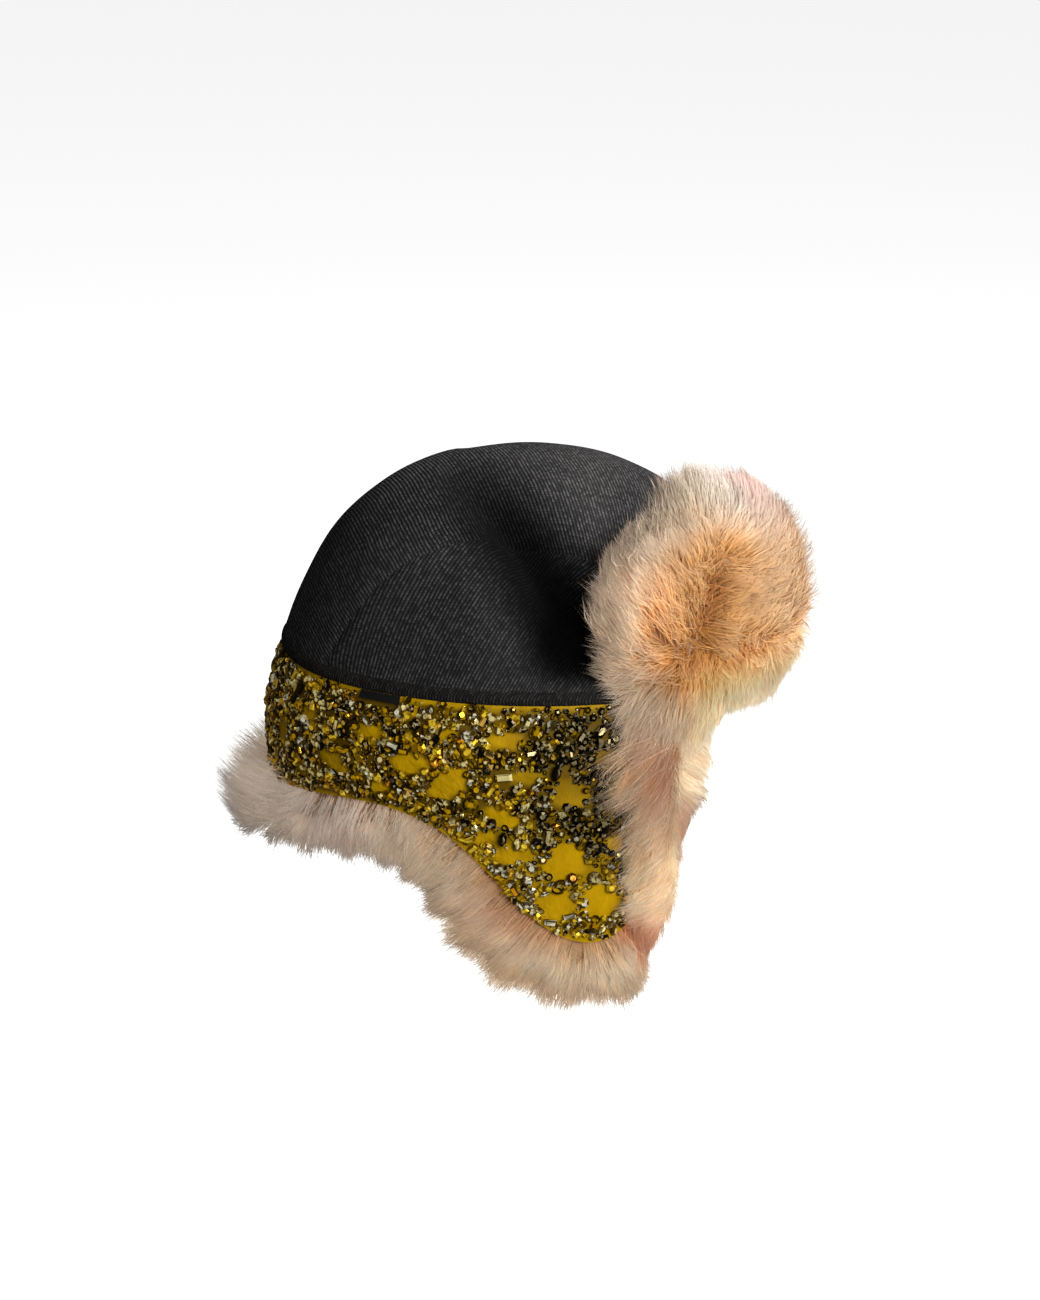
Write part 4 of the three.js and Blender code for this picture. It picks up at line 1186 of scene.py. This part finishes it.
def flap_colours(lines, outside, tone, grain):
    """A colour for each point of the hairs. outside says how far each tip is past the hide, from 0
    to 1, tone goes with the lock, and grain with the hair."""
    t = np.linspace(0, 1, 4)[None]
    x, z = lines[..., 0], lines[..., 1]
    swing, clumps = x / UNROLL, (0.5 + 0.5 * np.tanh(tone))[:, None]
    across, along = parting_distance(lines[..., :2])
    warm = np.exp(-((across / 23) ** 2)) * np.exp(-((along / 36) ** 2))
    deep = np.exp(-((across / 5.5) ** 2)) * np.exp(-((along / 24) ** 2))
    past = flap_reach(lines[..., :2])[0]
    rim = ease((past + 16) / 22)
    colour = blend_colours(PEACH, BEIGE, np.clip(rim + 0.25 - warm, 0, 1) + 0 * t)
    colour = blend_colours(colour, CREAM, np.clip(t ** 1.5 * 0.75 * (1 - 0.65 * warm) + 0.25 * rim, 0, 1))
    at_root = (1 - t) ** 1.6 * 0.6 * (1 - 0.6 * rim)
    colour = blend_colours(colour, AMBER_BROWN, np.clip(at_root + deep * 0.9, 0, 1))
    colour = blend_colours(colour, DEEP_BROWN, 0.32 * deep)
    in_front = ease((x + 46) / 30) * ease((-x + 20) / 30)
    rosy = rim * in_front * (0.5 + 0.3 * ease((z - 24) / 20)) * clumps
    colour = blend_colours(colour, ROSE, np.clip(rosy, 0, 1))
    colour = colour * (1 + 0.07 * tone[:, None, None] + grain)
    # Painted light and shade: low on the flap and by the crown the hair is made lighter, at the top and
    # across the middle darker, right at the bottom lighter; low down it is also a deeper gold.
    low = ease((34 - z) / 30) * ease((swing + 58) / 14)
    by_crown = ease((-swing - 50) / 14) * ease((z - 2) / 20)
    high = ease((z - 50) / 20)
    lit = ease((swing + 54) / 14) * (0.44 * ease((z - 4) / 26) - 0.18) * (1 - high)
    light = 1 + 0.36 * low + (0.38 - 0.08 * high) * by_crown - 0.13 * high - lit
    colour = colour * light[..., None] * (1 - np.array([0.02, 0, 0.1]) * low[..., None])
    colour = colour * (1 + np.array([0, 0.06, 0.2]) * (high * ease((swing + 44) / 20))[..., None])
    # Tips over the crown are painted brown: painted shade at the fur's edge, and the dark cloth that shows
    # between the thin tips.
    edge_shade = by_crown + ease((-swing - 30) / 16) * high
    colour = blend_colours(colour, EDGE_SHADE_BROWN, np.clip(0.75 * edge_shade * outside[:, None] * t ** 2.8, 0, 0.75))
    # Low in front and on the left the rim is so thin that the light comes through.
    fading = ease((swing + 42) / 20) * ease((46 - z) / 24) * ease((past + 9) / 13)
    colour = blend_colours(colour, PALE_LIGHT, 0.75 * fading * t)
    # Painted shade: where it hangs over the stones on the right it is browner.
    hanging = ease((-swing - 38) / 16) * ease((4 - z) / 14)
    colour = blend_colours(colour, AMBER_BROWN, 0.22 * hanging * clumps)
    return np.clip(colour, 0.02, 1)


def flap_hair(name, locks, per_lock, seed, rim_only):
    draw = np.random.default_rng(seed)
    # Roots of the locks, spread evenly over the hide.
    angle = draw.uniform(0, 2 * math.pi, locks * 3)
    edge = by_angle(outline_radius, angle)
    keep = draw.random(angle.size) < (edge / edge.max()) ** (1 if rim_only else 2)
    angle, edge = angle[keep][:locks], edge[keep][:locks]
    if rim_only:
        share = 1 - draw.uniform(0, 9, len(angle)) / edge
    else:
        share = np.sqrt(draw.uniform(0, 0.98, len(angle)))
    lock_root = FLAP_MIDDLE + np.stack([np.cos(angle), np.sin(angle)], axis=-1) * (edge * share)[:, None]
    centre, away = nearest_on(spine, lock_root)
    fall = unit(lock_root - centre + draw.normal(0, 1.2, lock_root.shape))
    off = np.stack([by_angle(outline_off[:, 0], angle), by_angle(outline_off[:, 1], angle)], axis=-1)
    off = off * np.sign(np.sum(off * (lock_root - FLAP_MIDDLE), axis=-1, keepdims=True))
    near_rim = ease((share - 0.45) / 0.5)[:, None]
    fall = unit(fall * (1 - 0.6 * near_rim) + off * 0.6 * near_rim + np.array([0, -0.12]) * (1 - near_rim))
    upper = ease((lock_root[:, 1] - 48) / 26)
    # Beside the parting the hair is combed upwards, like a fan that opens from the parting's foot.
    combed = np.maximum(1.15 * ease((lock_root[:, 1] - 4) / 30) * np.abs(fall[:, 0]) ** 1.5, 0.9 * upper)
    fall = unit(fall + combed[:, None] * np.array([0, 1]))
    right = -lock_root[:, 0] / UNROLL
    right_top = upper * (ease((right - 8) / 18) - 1.8 * ease((right - 40) / 12))
    longer = 1 + 0.5 * right_top + 0.35 * combed * (1 - upper)
    lock_length = draw.uniform(12, 17, len(fall)) * (0.75 + 0.25 * ease(away / 14)) * longer
    lock_bend = draw.normal(0, 2.0, len(fall))
    lock_tone = draw.normal(0, 1, len(fall))

    which = np.repeat(np.arange(len(fall)), per_lock)
    count = len(which)
    root = lock_root[which] + draw.normal(0, 2.3, (count, 2))
    fall_here = unit(fall[which] + draw.normal(0, 0.16, (count, 2)))
    length = lock_length[which] * draw.uniform(0.72, 1.08, count)
    own_tip = root + fall_here * length[:, None]
    lock_tip = lock_root[which] + fall[which] * lock_length[which][:, None]
    tip = own_tip + (lock_tip - own_tip) * 0.42
    past, _, longest = flap_reach(tip)
    wisp = draw.random(count) < 0.15
    spread = 0.8 * ease((lock_root[which, 0] / UNROLL + 44) / 20)
    limit = longest * np.where(wisp, draw.uniform(1.0, 1.5 + spread, count), draw.uniform(0.7, 1.02, count))
    tip = tip - fall_here * np.maximum(0, past - limit)[:, None]
    past = flap_reach(tip)[0]
    inner, outer = flap_heights(tip)
    outside = ease(past / 6)
    standing = np.where(wisp, draw.uniform(1.1, 1.6, count), draw.uniform(0.66, 1.2, count))
    w = standing * (1 - outside) + draw.uniform(-0.25, 1.3, count) * outside
    over_ear = ease((8 - tip[:, 1]) / 18) * ease((np.abs(tip[:, 0] / UNROLL) - 32) / 16)
    tip_height = inner + (outer - inner) * w + 9 * over_ear
    tip = tip + over_ear[:, None] * np.column_stack([np.sign(tip[:, 0]) * 5, -draw.uniform(0, 19, count)])
    root_past = flap_reach(root)[0]
    root_in, root_out = flap_heights(root)
    root_height = root_in + (root_out - root_in) * draw.uniform(0.1, 0.45, count)
    root = root - fall_here * np.maximum(0, root_past + 1)[:, None]
    sideways = np.stack([-fall_here[:, 1], fall_here[:, 0]], axis=-1)
    curl = sideways * (lock_bend[which] + draw.normal(0, 0.8, count))[:, None]
    lines = bent(np.column_stack([root, root_height]), np.column_stack([tip, tip_height]), 1.7, curl)
    points = flap_surface(lines[..., :2], lines[..., 2])
    below = flap_surface(lines[:, 2, :2], lines[:, 2, 2] - 1)
    above = flap_surface(lines[:, 2, :2], lines[:, 2, 2] + 1)
    outwards = above - below + 0.9 * (flap_surface(tip, tip_height) - flap_surface(root, tip_height)) / 14
    outwards = unit(outwards + np.array([0, 0, 0.8]) * (outside * ease((tip[:, 1] - 50) / 20))[:, None])

    grain = draw.normal(0, 0.06, (count, 1, 1))
    colour = flap_colours(lines, outside, lock_tone[which], grain)
    width = draw.uniform(0.26, 0.56, count) * np.where(wisp, 0.6, 1)
    return ribbons(name, points, outwards, width, colour, hair, draw, 0.72 - 0.4 * outside)


flap_pile = flap_hair("flap_pile", 1400, 26, 31, False)
flap_rim = flap_hair("flap_rim", 720, 26, 32, True)

# %% [markdown]
# ## The fur along the free edge
# The lining's long hair stands out all round the band's free edge, and at the front of each
# ear flap it rolls back over the band. The solid has the same two faces, inner and outer,
# row by row. A hair is placed by its share round the edge, its row and its depth between
# those two faces, so the whole fringe fills that form.

# %% Form of the fringe
EDGE_START, EDGE_SMOOTHING, LOCK_WIDEST, FRINGE_LOCKS = 6.0, 0.02, 16.0, 38
FRINGE_ROWS = np.array([
    # past the edge, outer face, inner face, and turn outwards at the nape
    [-9, -2.6, -6, 0],
    [-9, -3, -7.5, 0],
    [-9, -3, -8, 0],
    [1.2, -2.5, -11, 0],
    [12, 2.5, -12.5, 5],
    [22, 3.2, -9.5, 11],
    [31, 0.2, -2.4, 17],
])
# at the front: past the edge, share of the reach back over the band, and off the band, for each face
ROLL_OUTER = np.array([[1.4, 0, 4.8], [0, 0.5, 5.4], [0, 1, 5]])
ROLL_INNER = np.array([[9, 0, -8], [13, 0, 7], [0, 0.35, 14]])
ROLL_TOP, ROLL_BOTTOM = 36.0, 12.0

route_turns = np.arange(FLAP_END, -FLAP_END - 1, -1)
route = np.column_stack([route_turns * UNROLL, -band_drop(route_turns)])
route = np.vstack([[FLAP_END * UNROLL, -EDGE_START], route, [-FLAP_END * UNROLL, -EDGE_START]])
route_length = np.concatenate([[0], np.cumsum(np.linalg.norm(np.diff(route, axis=0), axis=1))])
route_length /= route_length[-1]


def on_route(share):
    share = np.clip(share, 0, 1)
    return np.stack([np.interp(share, route_length, route[:, k]) for k in (0, 1)], axis=-1)


def off_route(share):
    run = unit(on_route(share + EDGE_SMOOTHING) - on_route(share - EDGE_SMOOTHING))
    return np.stack([-run[..., 1], run[..., 0]], axis=-1)


share_steps = np.linspace(0, 1, 601)
outer_line = on_route(share_steps) + off_route(share_steps) * LOCK_WIDEST
outer_steps = np.linalg.norm(np.diff(outer_line, axis=0), axis=1)
travelled = np.concatenate([[0], np.cumsum(np.maximum(outer_steps, 0.15))])
travelled /= travelled[-1]
fringe_tips = lock_ends(2 * FRINGE_LOCKS, 0.08, 0.74)


def fringe_flat(share, row, depth):
    """Flat place and height off the band. depth is 0 on the inner face and 1 on the outer."""
    at, off = on_route(share), off_route(share)
    lock = np.interp(share, share_steps, travelled) * 2 * FRINGE_LOCKS
    tip = np.interp(lock, np.arange(len(fringe_tips)), fringe_tips)
    rolled = ease((off[..., 0] * np.sign(at[..., 0]) - 0.45) / 0.45)
    reach = ROLL_TOP + (ROLL_BOTTOM - ROLL_TOP) * (-at[..., 1] / band_drop(FLAP_END))
    low = np.clip(np.floor(row).astype(int), 0, 5)
    result = []
    for k in (low, low + 1):
        faces = []
        for column, roll in ((1, ROLL_OUTER), (2, ROLL_INNER)):
            past = FRINGE_ROWS[k, 0] * np.where(k < 4, 1, tip)
            height = FRINGE_ROWS[k, column]
            r = roll[np.clip(k - 4, 0, 2)]
            share_rolled = rolled * (k >= 4)
            past = past + (r[..., 0] - r[..., 1] * reach * tip - past) * share_rolled
            height = height + (r[..., 2] - height) * share_rolled
            faces.append(np.stack([past, height], axis=-1))
        result.append(faces[1] + (faces[0] - faces[1]) * np.asarray(depth)[..., None])
    t = (row - low)[..., None]
    past, height = np.moveaxis(result[0] + (result[1] - result[0]) * t, -1, 0)
    place = at + off * past[..., None]
    nape = 1 - ease((np.abs(place[..., 0] / UNROLL) - 20) / 45)
    curl = np.interp(row, np.arange(len(FRINGE_ROWS)), FRINGE_ROWS[:, 3])
    return place, height + curl * nape, rolled


def fringe_point(share, row, depth):
    place, height, _ = fringe_flat(share, row, depth)
    return off_band(place[..., 0] / UNROLL, -place[..., 1], height)


print("free edge of", round(float(np.linalg.norm(np.diff(route, axis=0), axis=1).sum())), "mm")

# %% Core of the lining


def lining_core():
    """The hide and the roots of the fringe, as one body between an inner and an outer face."""
    columns = 220
    share = np.interp(np.linspace(0, 1, columns + 1), travelled, share_steps)[:, None]
    rows = np.array([0, 0.5, 1, 1.5, 2, 2.4, 2.8, 3.2, 3.6, 4, 4.3, 4.6])[None, :]
    down = np.interp(rows, np.arange(3), [0, 0.5, 1])
    skins = []
    for depth in (0.9, 0.18):
        share_grid, row_grid = share + 0 * rows, rows + 0 * share
        squeeze = depth + (0.55 - depth) * ease((row_grid - 3.8) / 0.8)
        place, height, _ = fringe_flat(share_grid, row_grid, squeeze)
        top = np.stack([FLAP_END * (1 - 2 * share_grid) * UNROLL, np.full_like(share_grid, -2)], axis=-1)
        place = place + (top - place) * (1 - down + 0 * share)[..., None]
        if depth < 0.5:
            height = height + 1.5 * (row_grid < 2.5)
        skins.append(off_band(place[..., 0] / UNROLL, -place[..., 1], height))
    outer, inner = skins
    lines = outer.shape[1]
    points = np.concatenate([outer.reshape(-1, 3), inner.reshape(-1, 3)])
    faces, half = [], outer.shape[0] * lines
    for i in range(columns):
        for j in range(lines - 1):
            a = i * lines + j
            quad = (a, a + lines, a + lines + 1, a + 1)
            faces += [quad, tuple(half + k for k in quad[::-1])]
        a, b = i * lines, i * lines + lines - 1
        faces += [(a, half + a, half + a + lines, a + lines), (b, b + lines, half + b + lines, half + b)]
    for j in range(lines - 1):
        for a in (j, columns * lines + j):
            quad = (a, a + 1, half + a + 1, half + a)
            faces.append(quad if a == j else quad[::-1])
    mesh = bpy.data.meshes.new("lining_roots")
    mesh.from_pydata((points * MM).tolist(), [], faces)
    mesh.materials.append(roots_fur)
    piece = add_object("lining_roots", mesh)
    edit_all(piece, bpy.ops.mesh.normals_make_consistent, inside=False)
    mesh.shade_smooth()
    print("lining_roots", len(mesh.polygons), "faces")
    return piece


lining_roots = lining_core()

# %% Hair of the fringe
TAUPE, PLUM, GREY = np.array(tint("e6ddd2")), np.array(tint("a8998e")), np.array(tint("c2bdbb"))
SAND, MILK, FOX = np.array(tint("ecd09e")), np.array(tint("efe8d6")), np.array(tint("cd7a48"))


def fringe_colours(place, row_line, tone, wisp, grain):
    """A colour for each point of the hairs. place is where each hair is on the flat, tone goes with
    the lock, and grain with the hair."""
    t = np.linspace(0, 1, 4)[None]
    turn, drop = np.abs(place[:, 0]) / UNROLL, -place[:, 1]
    behind = 1 - ease((turn - 48) / 42)
    front = ease((turn - 112) / 10) * ease((100 - drop) / 24)
    corner = np.exp(-(((turn - 121) / 6) ** 2) - ((drop - 100) / 9) ** 2)
    body = blend_colours(SAND, TAUPE, behind)
    body = blend_colours(body, BEIGE, front * 0.7)
    shaded = front * ease((64 - drop) / 46)
    body = blend_colours(body, AMBER_BROWN, shaded * 0.5)
    tips = blend_colours(blend_colours(CREAM, TAUPE, behind * 0.8), MILK, front)
    beyond = ease((row_line - 4.2) / 1.6)
    colour = body[:, None] + (tips - body)[:, None] * (t ** 1.3)[..., None]
    colour = blend_colours(colour, AMBER_BROWN, (1 - t) ** 1.8 * 0.45)
    clumps = 0.5 + 0.5 * np.tanh(1.4 * tone)[:, None]
    # Below the ear flap it is brown near the edge, warm on the slope, then pale, and grey at the tips.
    below_ear = (ease((drop - 62) / 24) * (1 - front))[:, None]
    colour = blend_colours(colour, AMBER_BROWN, 0.3 * below_ear * ease((3.9 - row_line) / 0.9))
    on_slope = (np.exp(-(((drop - 99) / 13) ** 2)) * (1 - front))[:, None]
    colour = blend_colours(colour, FOX, 0.32 * on_slope * ease((5.8 - row_line) / 1.2))
    colour = blend_colours(colour, MILK, 0.42 * below_ear * np.exp(-(((row_line - 4.7) / 0.7) ** 2)))
    colour = blend_colours(colour, PLUM, 0.4 * below_ear * clumps * ease((row_line - 5.2) / 0.8))
    colour = blend_colours(colour, PLUM, np.clip(behind[:, None] * beyond * clumps * 0.75, 0, 1))
    far_back = (1 - ease((turn - 6) / 30))[:, None]
    colour = blend_colours(colour, GREY, far_back * 0.65 * beyond)
    colour = colour * (1 - 0.3 * far_back * t ** 3 * wisp[:, None])[..., None]
    colour = blend_colours(colour, FOX, np.clip(corner, 0, 1)[:, None] * 0.55 + 0 * t)
    # Painted shade: the roll is browner and darker where it ends on the stones in its own shade, less so at
    # its pale front edge; low in front it is painted lighter.
    inwards = ease((row_line - 4.2) / 1.0)
    over_stones = front[:, None] * ease((row_line - 4.7) / 1.1)
    brown = shaded[:, None] * (0.1 + 0.5 * clumps) * inwards + 0.14 * over_stones
    colour = blend_colours(colour, AMBER_BROWN, brown)
    low_front = (front * ease((drop - 40) / 35))[:, None]
    light = 0.14 * low_front - 0.14 * shaded[:, None] * inwards - 0.08 * over_stones
    colour = colour * (1 + light)[..., None]
    colour = colour * (1 + 0.08 * tone[:, None, None] + grain)
    return np.clip(colour, 0.02, 1)


def fringe_hair(name, first, last, locks, per_lock, seed):
    """Hairs between two shares of the way round, counted on the fringe's outer line."""
    draw = np.random.default_rng(seed)
    lock_travel = draw.uniform(first, last, locks)
    lock_row = 2.7 + 3.0 * draw.random(locks) ** 0.9
    on_outside = draw.random(locks) < 0.5
    lock_depth = np.where(on_outside, draw.uniform(0.72, 1.0, locks), draw.uniform(0.0, 1.0, locks))
    lock_lean = draw.normal(0, 0.5, locks)
    lock_tone = draw.normal(0, 1, locks)
    which = np.repeat(np.arange(locks), per_lock)
    count = len(which)
    total = outer_steps.sum()
    travel = np.clip(lock_travel[which] + draw.normal(0, 2.0, count) / total, 0.001, 0.999)
    share = np.interp(travel, travelled, share_steps)
    _, _, rolled = fringe_flat(share, np.full(count, 5.0), np.full(count, 0.5))
    # On the roll the outside of the fur is its inner face, because the fur is turned over.
    depth = lock_depth[which] + draw.normal(0, 0.07, count)
    depth = np.where(rolled > 0.5, 1 - depth, depth)
    row0 = lock_row[which] - draw.uniform(0.2, 0.5, count)
    row0 = np.clip(row0 - 0.5, 2.3, 5.2)
    # Hairs 13 to 19 mm long, longer at the ear flap's tip, measured in rows where they grow.
    stretch = fringe_point(share, row0 + 0.6, depth) - fringe_point(share, row0, depth)
    step = np.linalg.norm(stretch, axis=-1) / 0.6
    ear_tip = ease((-on_route(share)[:, 1] - 56) / 34) * (1 - rolled)
    length = draw.uniform(13, 19, count) * (1 + 0.45 * ear_tip)
    wisp = draw.random(count) < 0.14
    length = length * np.where(wisp, 1.35, 1)
    last_row = draw.uniform(5.6, 6.2, count) + 0.6 * wisp + 0.85 * ear_tip - 0.55 * rolled
    row1 = np.minimum(row0 + length / np.maximum(step, 6), last_row)
    side = np.where(share < 0.5, 1, -1)
    down_lean = rolled * 15.0 * side
    lean = (lock_lean[which] * 3.5 + draw.normal(0, 1.2, count) + down_lean) / total
    meet = np.clip(lock_travel[which], 0.001, 0.999)
    t = np.linspace(0, 1, 4)[None]
    towards = ((meet - travel) * 0.45)[:, None] * t
    travel_line = np.clip(travel[:, None] + towards + lean[:, None] * t ** 1.2, 0.0005, 0.9995)
    share_line = np.interp(travel_line, travelled, share_steps)
    row_line = row0[:, None] + (row1 - row0)[:, None] * t
    root_depth = 0.5 + (depth - 0.5) * 0.55
    depth_line = np.clip(root_depth[:, None] + (depth - root_depth)[:, None] * (t * 1.5), -0.15, 1.15)
    points = fringe_point(share_line, row_line, depth_line)
    stray = draw.normal(0, 1, (count, 1, 3)) * (t[..., None] ** 2) * np.where(wisp, 2.0, 0.9)[:, None, None]
    points = points + stray
    # At the nape the collar of a coat would push the fur up, so part of it stands out and up.
    flat_place, _, _ = fringe_flat(share, row0, depth)
    at_nape = (1 - ease((np.abs(flat_place[:, 0]) / UNROLL - 16) / 34)) * draw.random(count) ** 1.3
    at_nape = at_nape * np.where(wisp, 1.35, 1)
    push = band_outwards(flat_place[:, 0] / UNROLL, -flat_place[:, 1]) * 12 + np.array([0, 0, 25])
    points = points + push[:, None] * (at_nape[:, None] * t ** 2)[..., None]
    row = row_line[:, 2]
    inner_face, outer_face = (fringe_point(share, row, np.full(count, k)) for k in (0.0, 1.0))
    facing = np.where(depth > 0.5, 1.0, -1.0)[:, None]
    outwards = unit(unit(outer_face - inner_face) * facing + 0.5 * unit(points[:, 3] - points[:, 0]))

    place, _, _ = fringe_flat(share, row, depth)
    grain = draw.normal(0, 0.06, (count, 1, 1))
    colour = fringe_colours(place, row_line, lock_tone[which], wisp, grain)
    width = draw.uniform(0.26, 0.56, count) * np.where(wisp, 0.6, 1)
    return ribbons(name, points, outwards, width, colour, edge_hair, draw)


fringe_left = fringe_hair("fringe_left", 0.0, 0.34, 1200, 20, 41)
fringe_nape = fringe_hair("fringe_nape", 0.33, 0.67, 1050, 24, 42)
fringe_right = fringe_hair("fringe_right", 0.66, 1.0, 1400, 26, 43)

# %% Short pile inside the hat


def inner_pile(name, locks, per_lock, seed):
    draw = np.random.default_rng(seed)
    turn = draw.uniform(-FLAP_END + 1, FLAP_END - 1, locks)
    # Round the nape the pile goes on to the fringe below the band's edge.
    past_edge = 9 * (1 - ease((np.abs(turn) - 70) / 25))
    depth = 1 + (band_drop(turn) - 6 + past_edge) * draw.random(locks)
    which = np.repeat(np.arange(locks), per_lock)
    count = len(which)
    turns = turn[which] + draw.normal(0, 1.5, count)
    depths = np.maximum(0.5, depth[which] + draw.normal(0, 2.6, count))
    t = np.linspace(0, 1, 4)[None]
    fall = draw.uniform(3, 8, count)[:, None]
    down = depths[:, None] + fall * t
    height = -6.0 - draw.uniform(2.5, 5.0, count)[:, None] * np.sin(t * math.pi / 2)
    swing = turns[:, None] + draw.normal(0, 0.9, (count, 1)) * t
    points = off_band(swing, down, height)
    outwards = -band_outwards(turns, depths)
    tone = draw.normal(0, 0.08, (locks, 1, 1))[which]
    colour = blend_colours(AMBER_BROWN, BEIGE, np.clip(0.35 + 0.8 * t, 0, 1) + 0 * fall) * (1 + tone)
    width = draw.uniform(0.4, 0.8, count)
    return ribbons(name, points, outwards, width, np.clip(colour, 0.02, 1), hair, draw)


lining_pile = inner_pile("lining_pile", 900, 12, 51)

# %% [markdown]
# ## The side label
# A small tab of black woven ribbon is caught in the seam on the right. It is left plain.

# %% Label


def label_finish():
    finish = Finish("label_ribbon", Specular_IOR_Level=0.4)
    split = finish.split(finish.cloth_place())
    weave = (split.part("X") * 16.0).math("SINE") + (split.part("Y") * 16.0).math("SINE")
    dust = finish.noise(finish.object_place(), 500, 3)
    return finish.drive(
        Base_Color=finish.mix(dust, tint("030304"), tint("0d0d10")),
        Roughness=dust * 0.2 + 0.35,
        Normal=finish.bump(weave, 0.06, 0.6),
    ).material


def label_place(u, v):
    turn = LABEL_TURNS[0] + (LABEL_TURNS[1] - LABEL_TURNS[0]) * u
    depth = -0.2 + (LABEL_DEPTHS[1] - 0.6) * v
    curve = 1.4 + 0.12 * np.sin(math.pi * u) + 0.18 * v ** 3
    return off_band(turn, depth, curve)


label_tab = cloth_panel("label_tab", 16, 6, label_place, 0.5, label_finish())

# %% [markdown]
# ## Floor and light
# The photograph has the hat alone on white, so the floor lies well below it and glows a
# little, which keeps the hat's shadow faint. The main soft lamp stands high on the right, so
# the front flap shades the crown beside it. A weaker one fills from the right of the
# camera, and a small one adds sparkle.

# %% Floor


def stage_floor():
    clear_selection()
    bpy.ops.mesh.primitive_plane_add(size=40, location=(0, 0, -0.42))
    floor = bpy.context.object
    floor.name = "floor"
    finish = Finish(
        "pale_floor", Roughness=0.9, Specular_IOR_Level=0.1,
        Emission_Color=(1, 1, 1, 1), Emission_Strength=0.8)
    cloudy = finish.noise(finish.object_place(), 0.7, 2)
    finish.drive(Base_Color=finish.mix(cloudy, (0.9, 0.9, 0.9), (0.94, 0.94, 0.94)))
    floor.visible_diffuse = floor.visible_glossy = False
    floor.data.materials.append(finish.material)
    return floor


floor = stage_floor()

# %% Lights
world = bpy.context.scene.world or bpy.data.worlds.new("world")
bpy.context.scene.world = world
world.use_nodes = True
world.node_tree.nodes["Background"].inputs[0].default_value = (1, 1, 1, 1)
world.node_tree.nodes["Background"].inputs[1].default_value = 0.1
bpy.context.scene.view_settings.view_transform = "Standard"


def soft_lamp(name, right, up, towards, size, power):
    """A square lamp placed as the camera sees it, in metres from the hat."""
    lamp = bpy.data.lights.new(name, "AREA")
    lamp.size, lamp.energy = size, power
    holder = add_object(name, lamp)
    holder.location = right * sideways + up * upwards + towards * to_camera
    holder.rotation_euler = (-holder.location).to_track_quat("-Z", "Y").to_euler()
    return holder


soft_lamp("key", 1.15, 1.2, 0.35, 0.45, 38)
soft_lamp("fill", 0.75, 0.05, 1.5, 0.8, 18)
soft_lamp("sparkle", 0.3, 0.5, 1.7, 0.12, 3)

# %% [markdown]
# ## Joining the hat together
# Every piece rides on the one body of the hat, and the solids that it stands for are hidden.
# Each cloth piece keeps what it was cut to, and the crown's panels and the band print it.

# %% Ride, and hide the solids each piece stands for
ROLES = [
    (twill_centre, "wool", ["crown_centre"]),
    (twill_right, "wool", ["crown_side_right"]),
    (twill_left, "wool", ["crown_side_left"]),
    (binding_tape, "wool", ["binding"]),
    (brow_cloth, "wool", ["brow_band"]),
    (band_cloth, "band_cloth", ["band"]),
    (gem_right, "stones", ["stones_right"]),
    (gem_left, "stones", ["stones_left"]),
    (flap_roots, "fur", ["front_flap"]),
    (flap_pile, "fur", ["front_flap"]),
    (flap_rim, "fur", ["front_flap"]),
    (lining_roots, "fur", ["fur_lining"]),
    (fringe_left, "fur", ["fur_lining"]),
    (fringe_nape, "fur", ["fur_lining"]),
    (fringe_right, "fur", ["fur_lining"]),
    (lining_pile, "fur", ["fur_lining"]),
    (label_tab, "label", ["side_label"]),
]
for piece, slot, nodes in ROLES:
    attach(piece, "root")
    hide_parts(*nodes)

for piece in (twill_centre, twill_right, twill_left, band_cloth):
    wide, long = (c * MM for c in piece["flat_mm"])
    area = min(piece["cut_mm2"] * MM * MM, wide * long)
    print(piece.name, "cut from", round(wide, 3), "by", round(long, 3), "m")
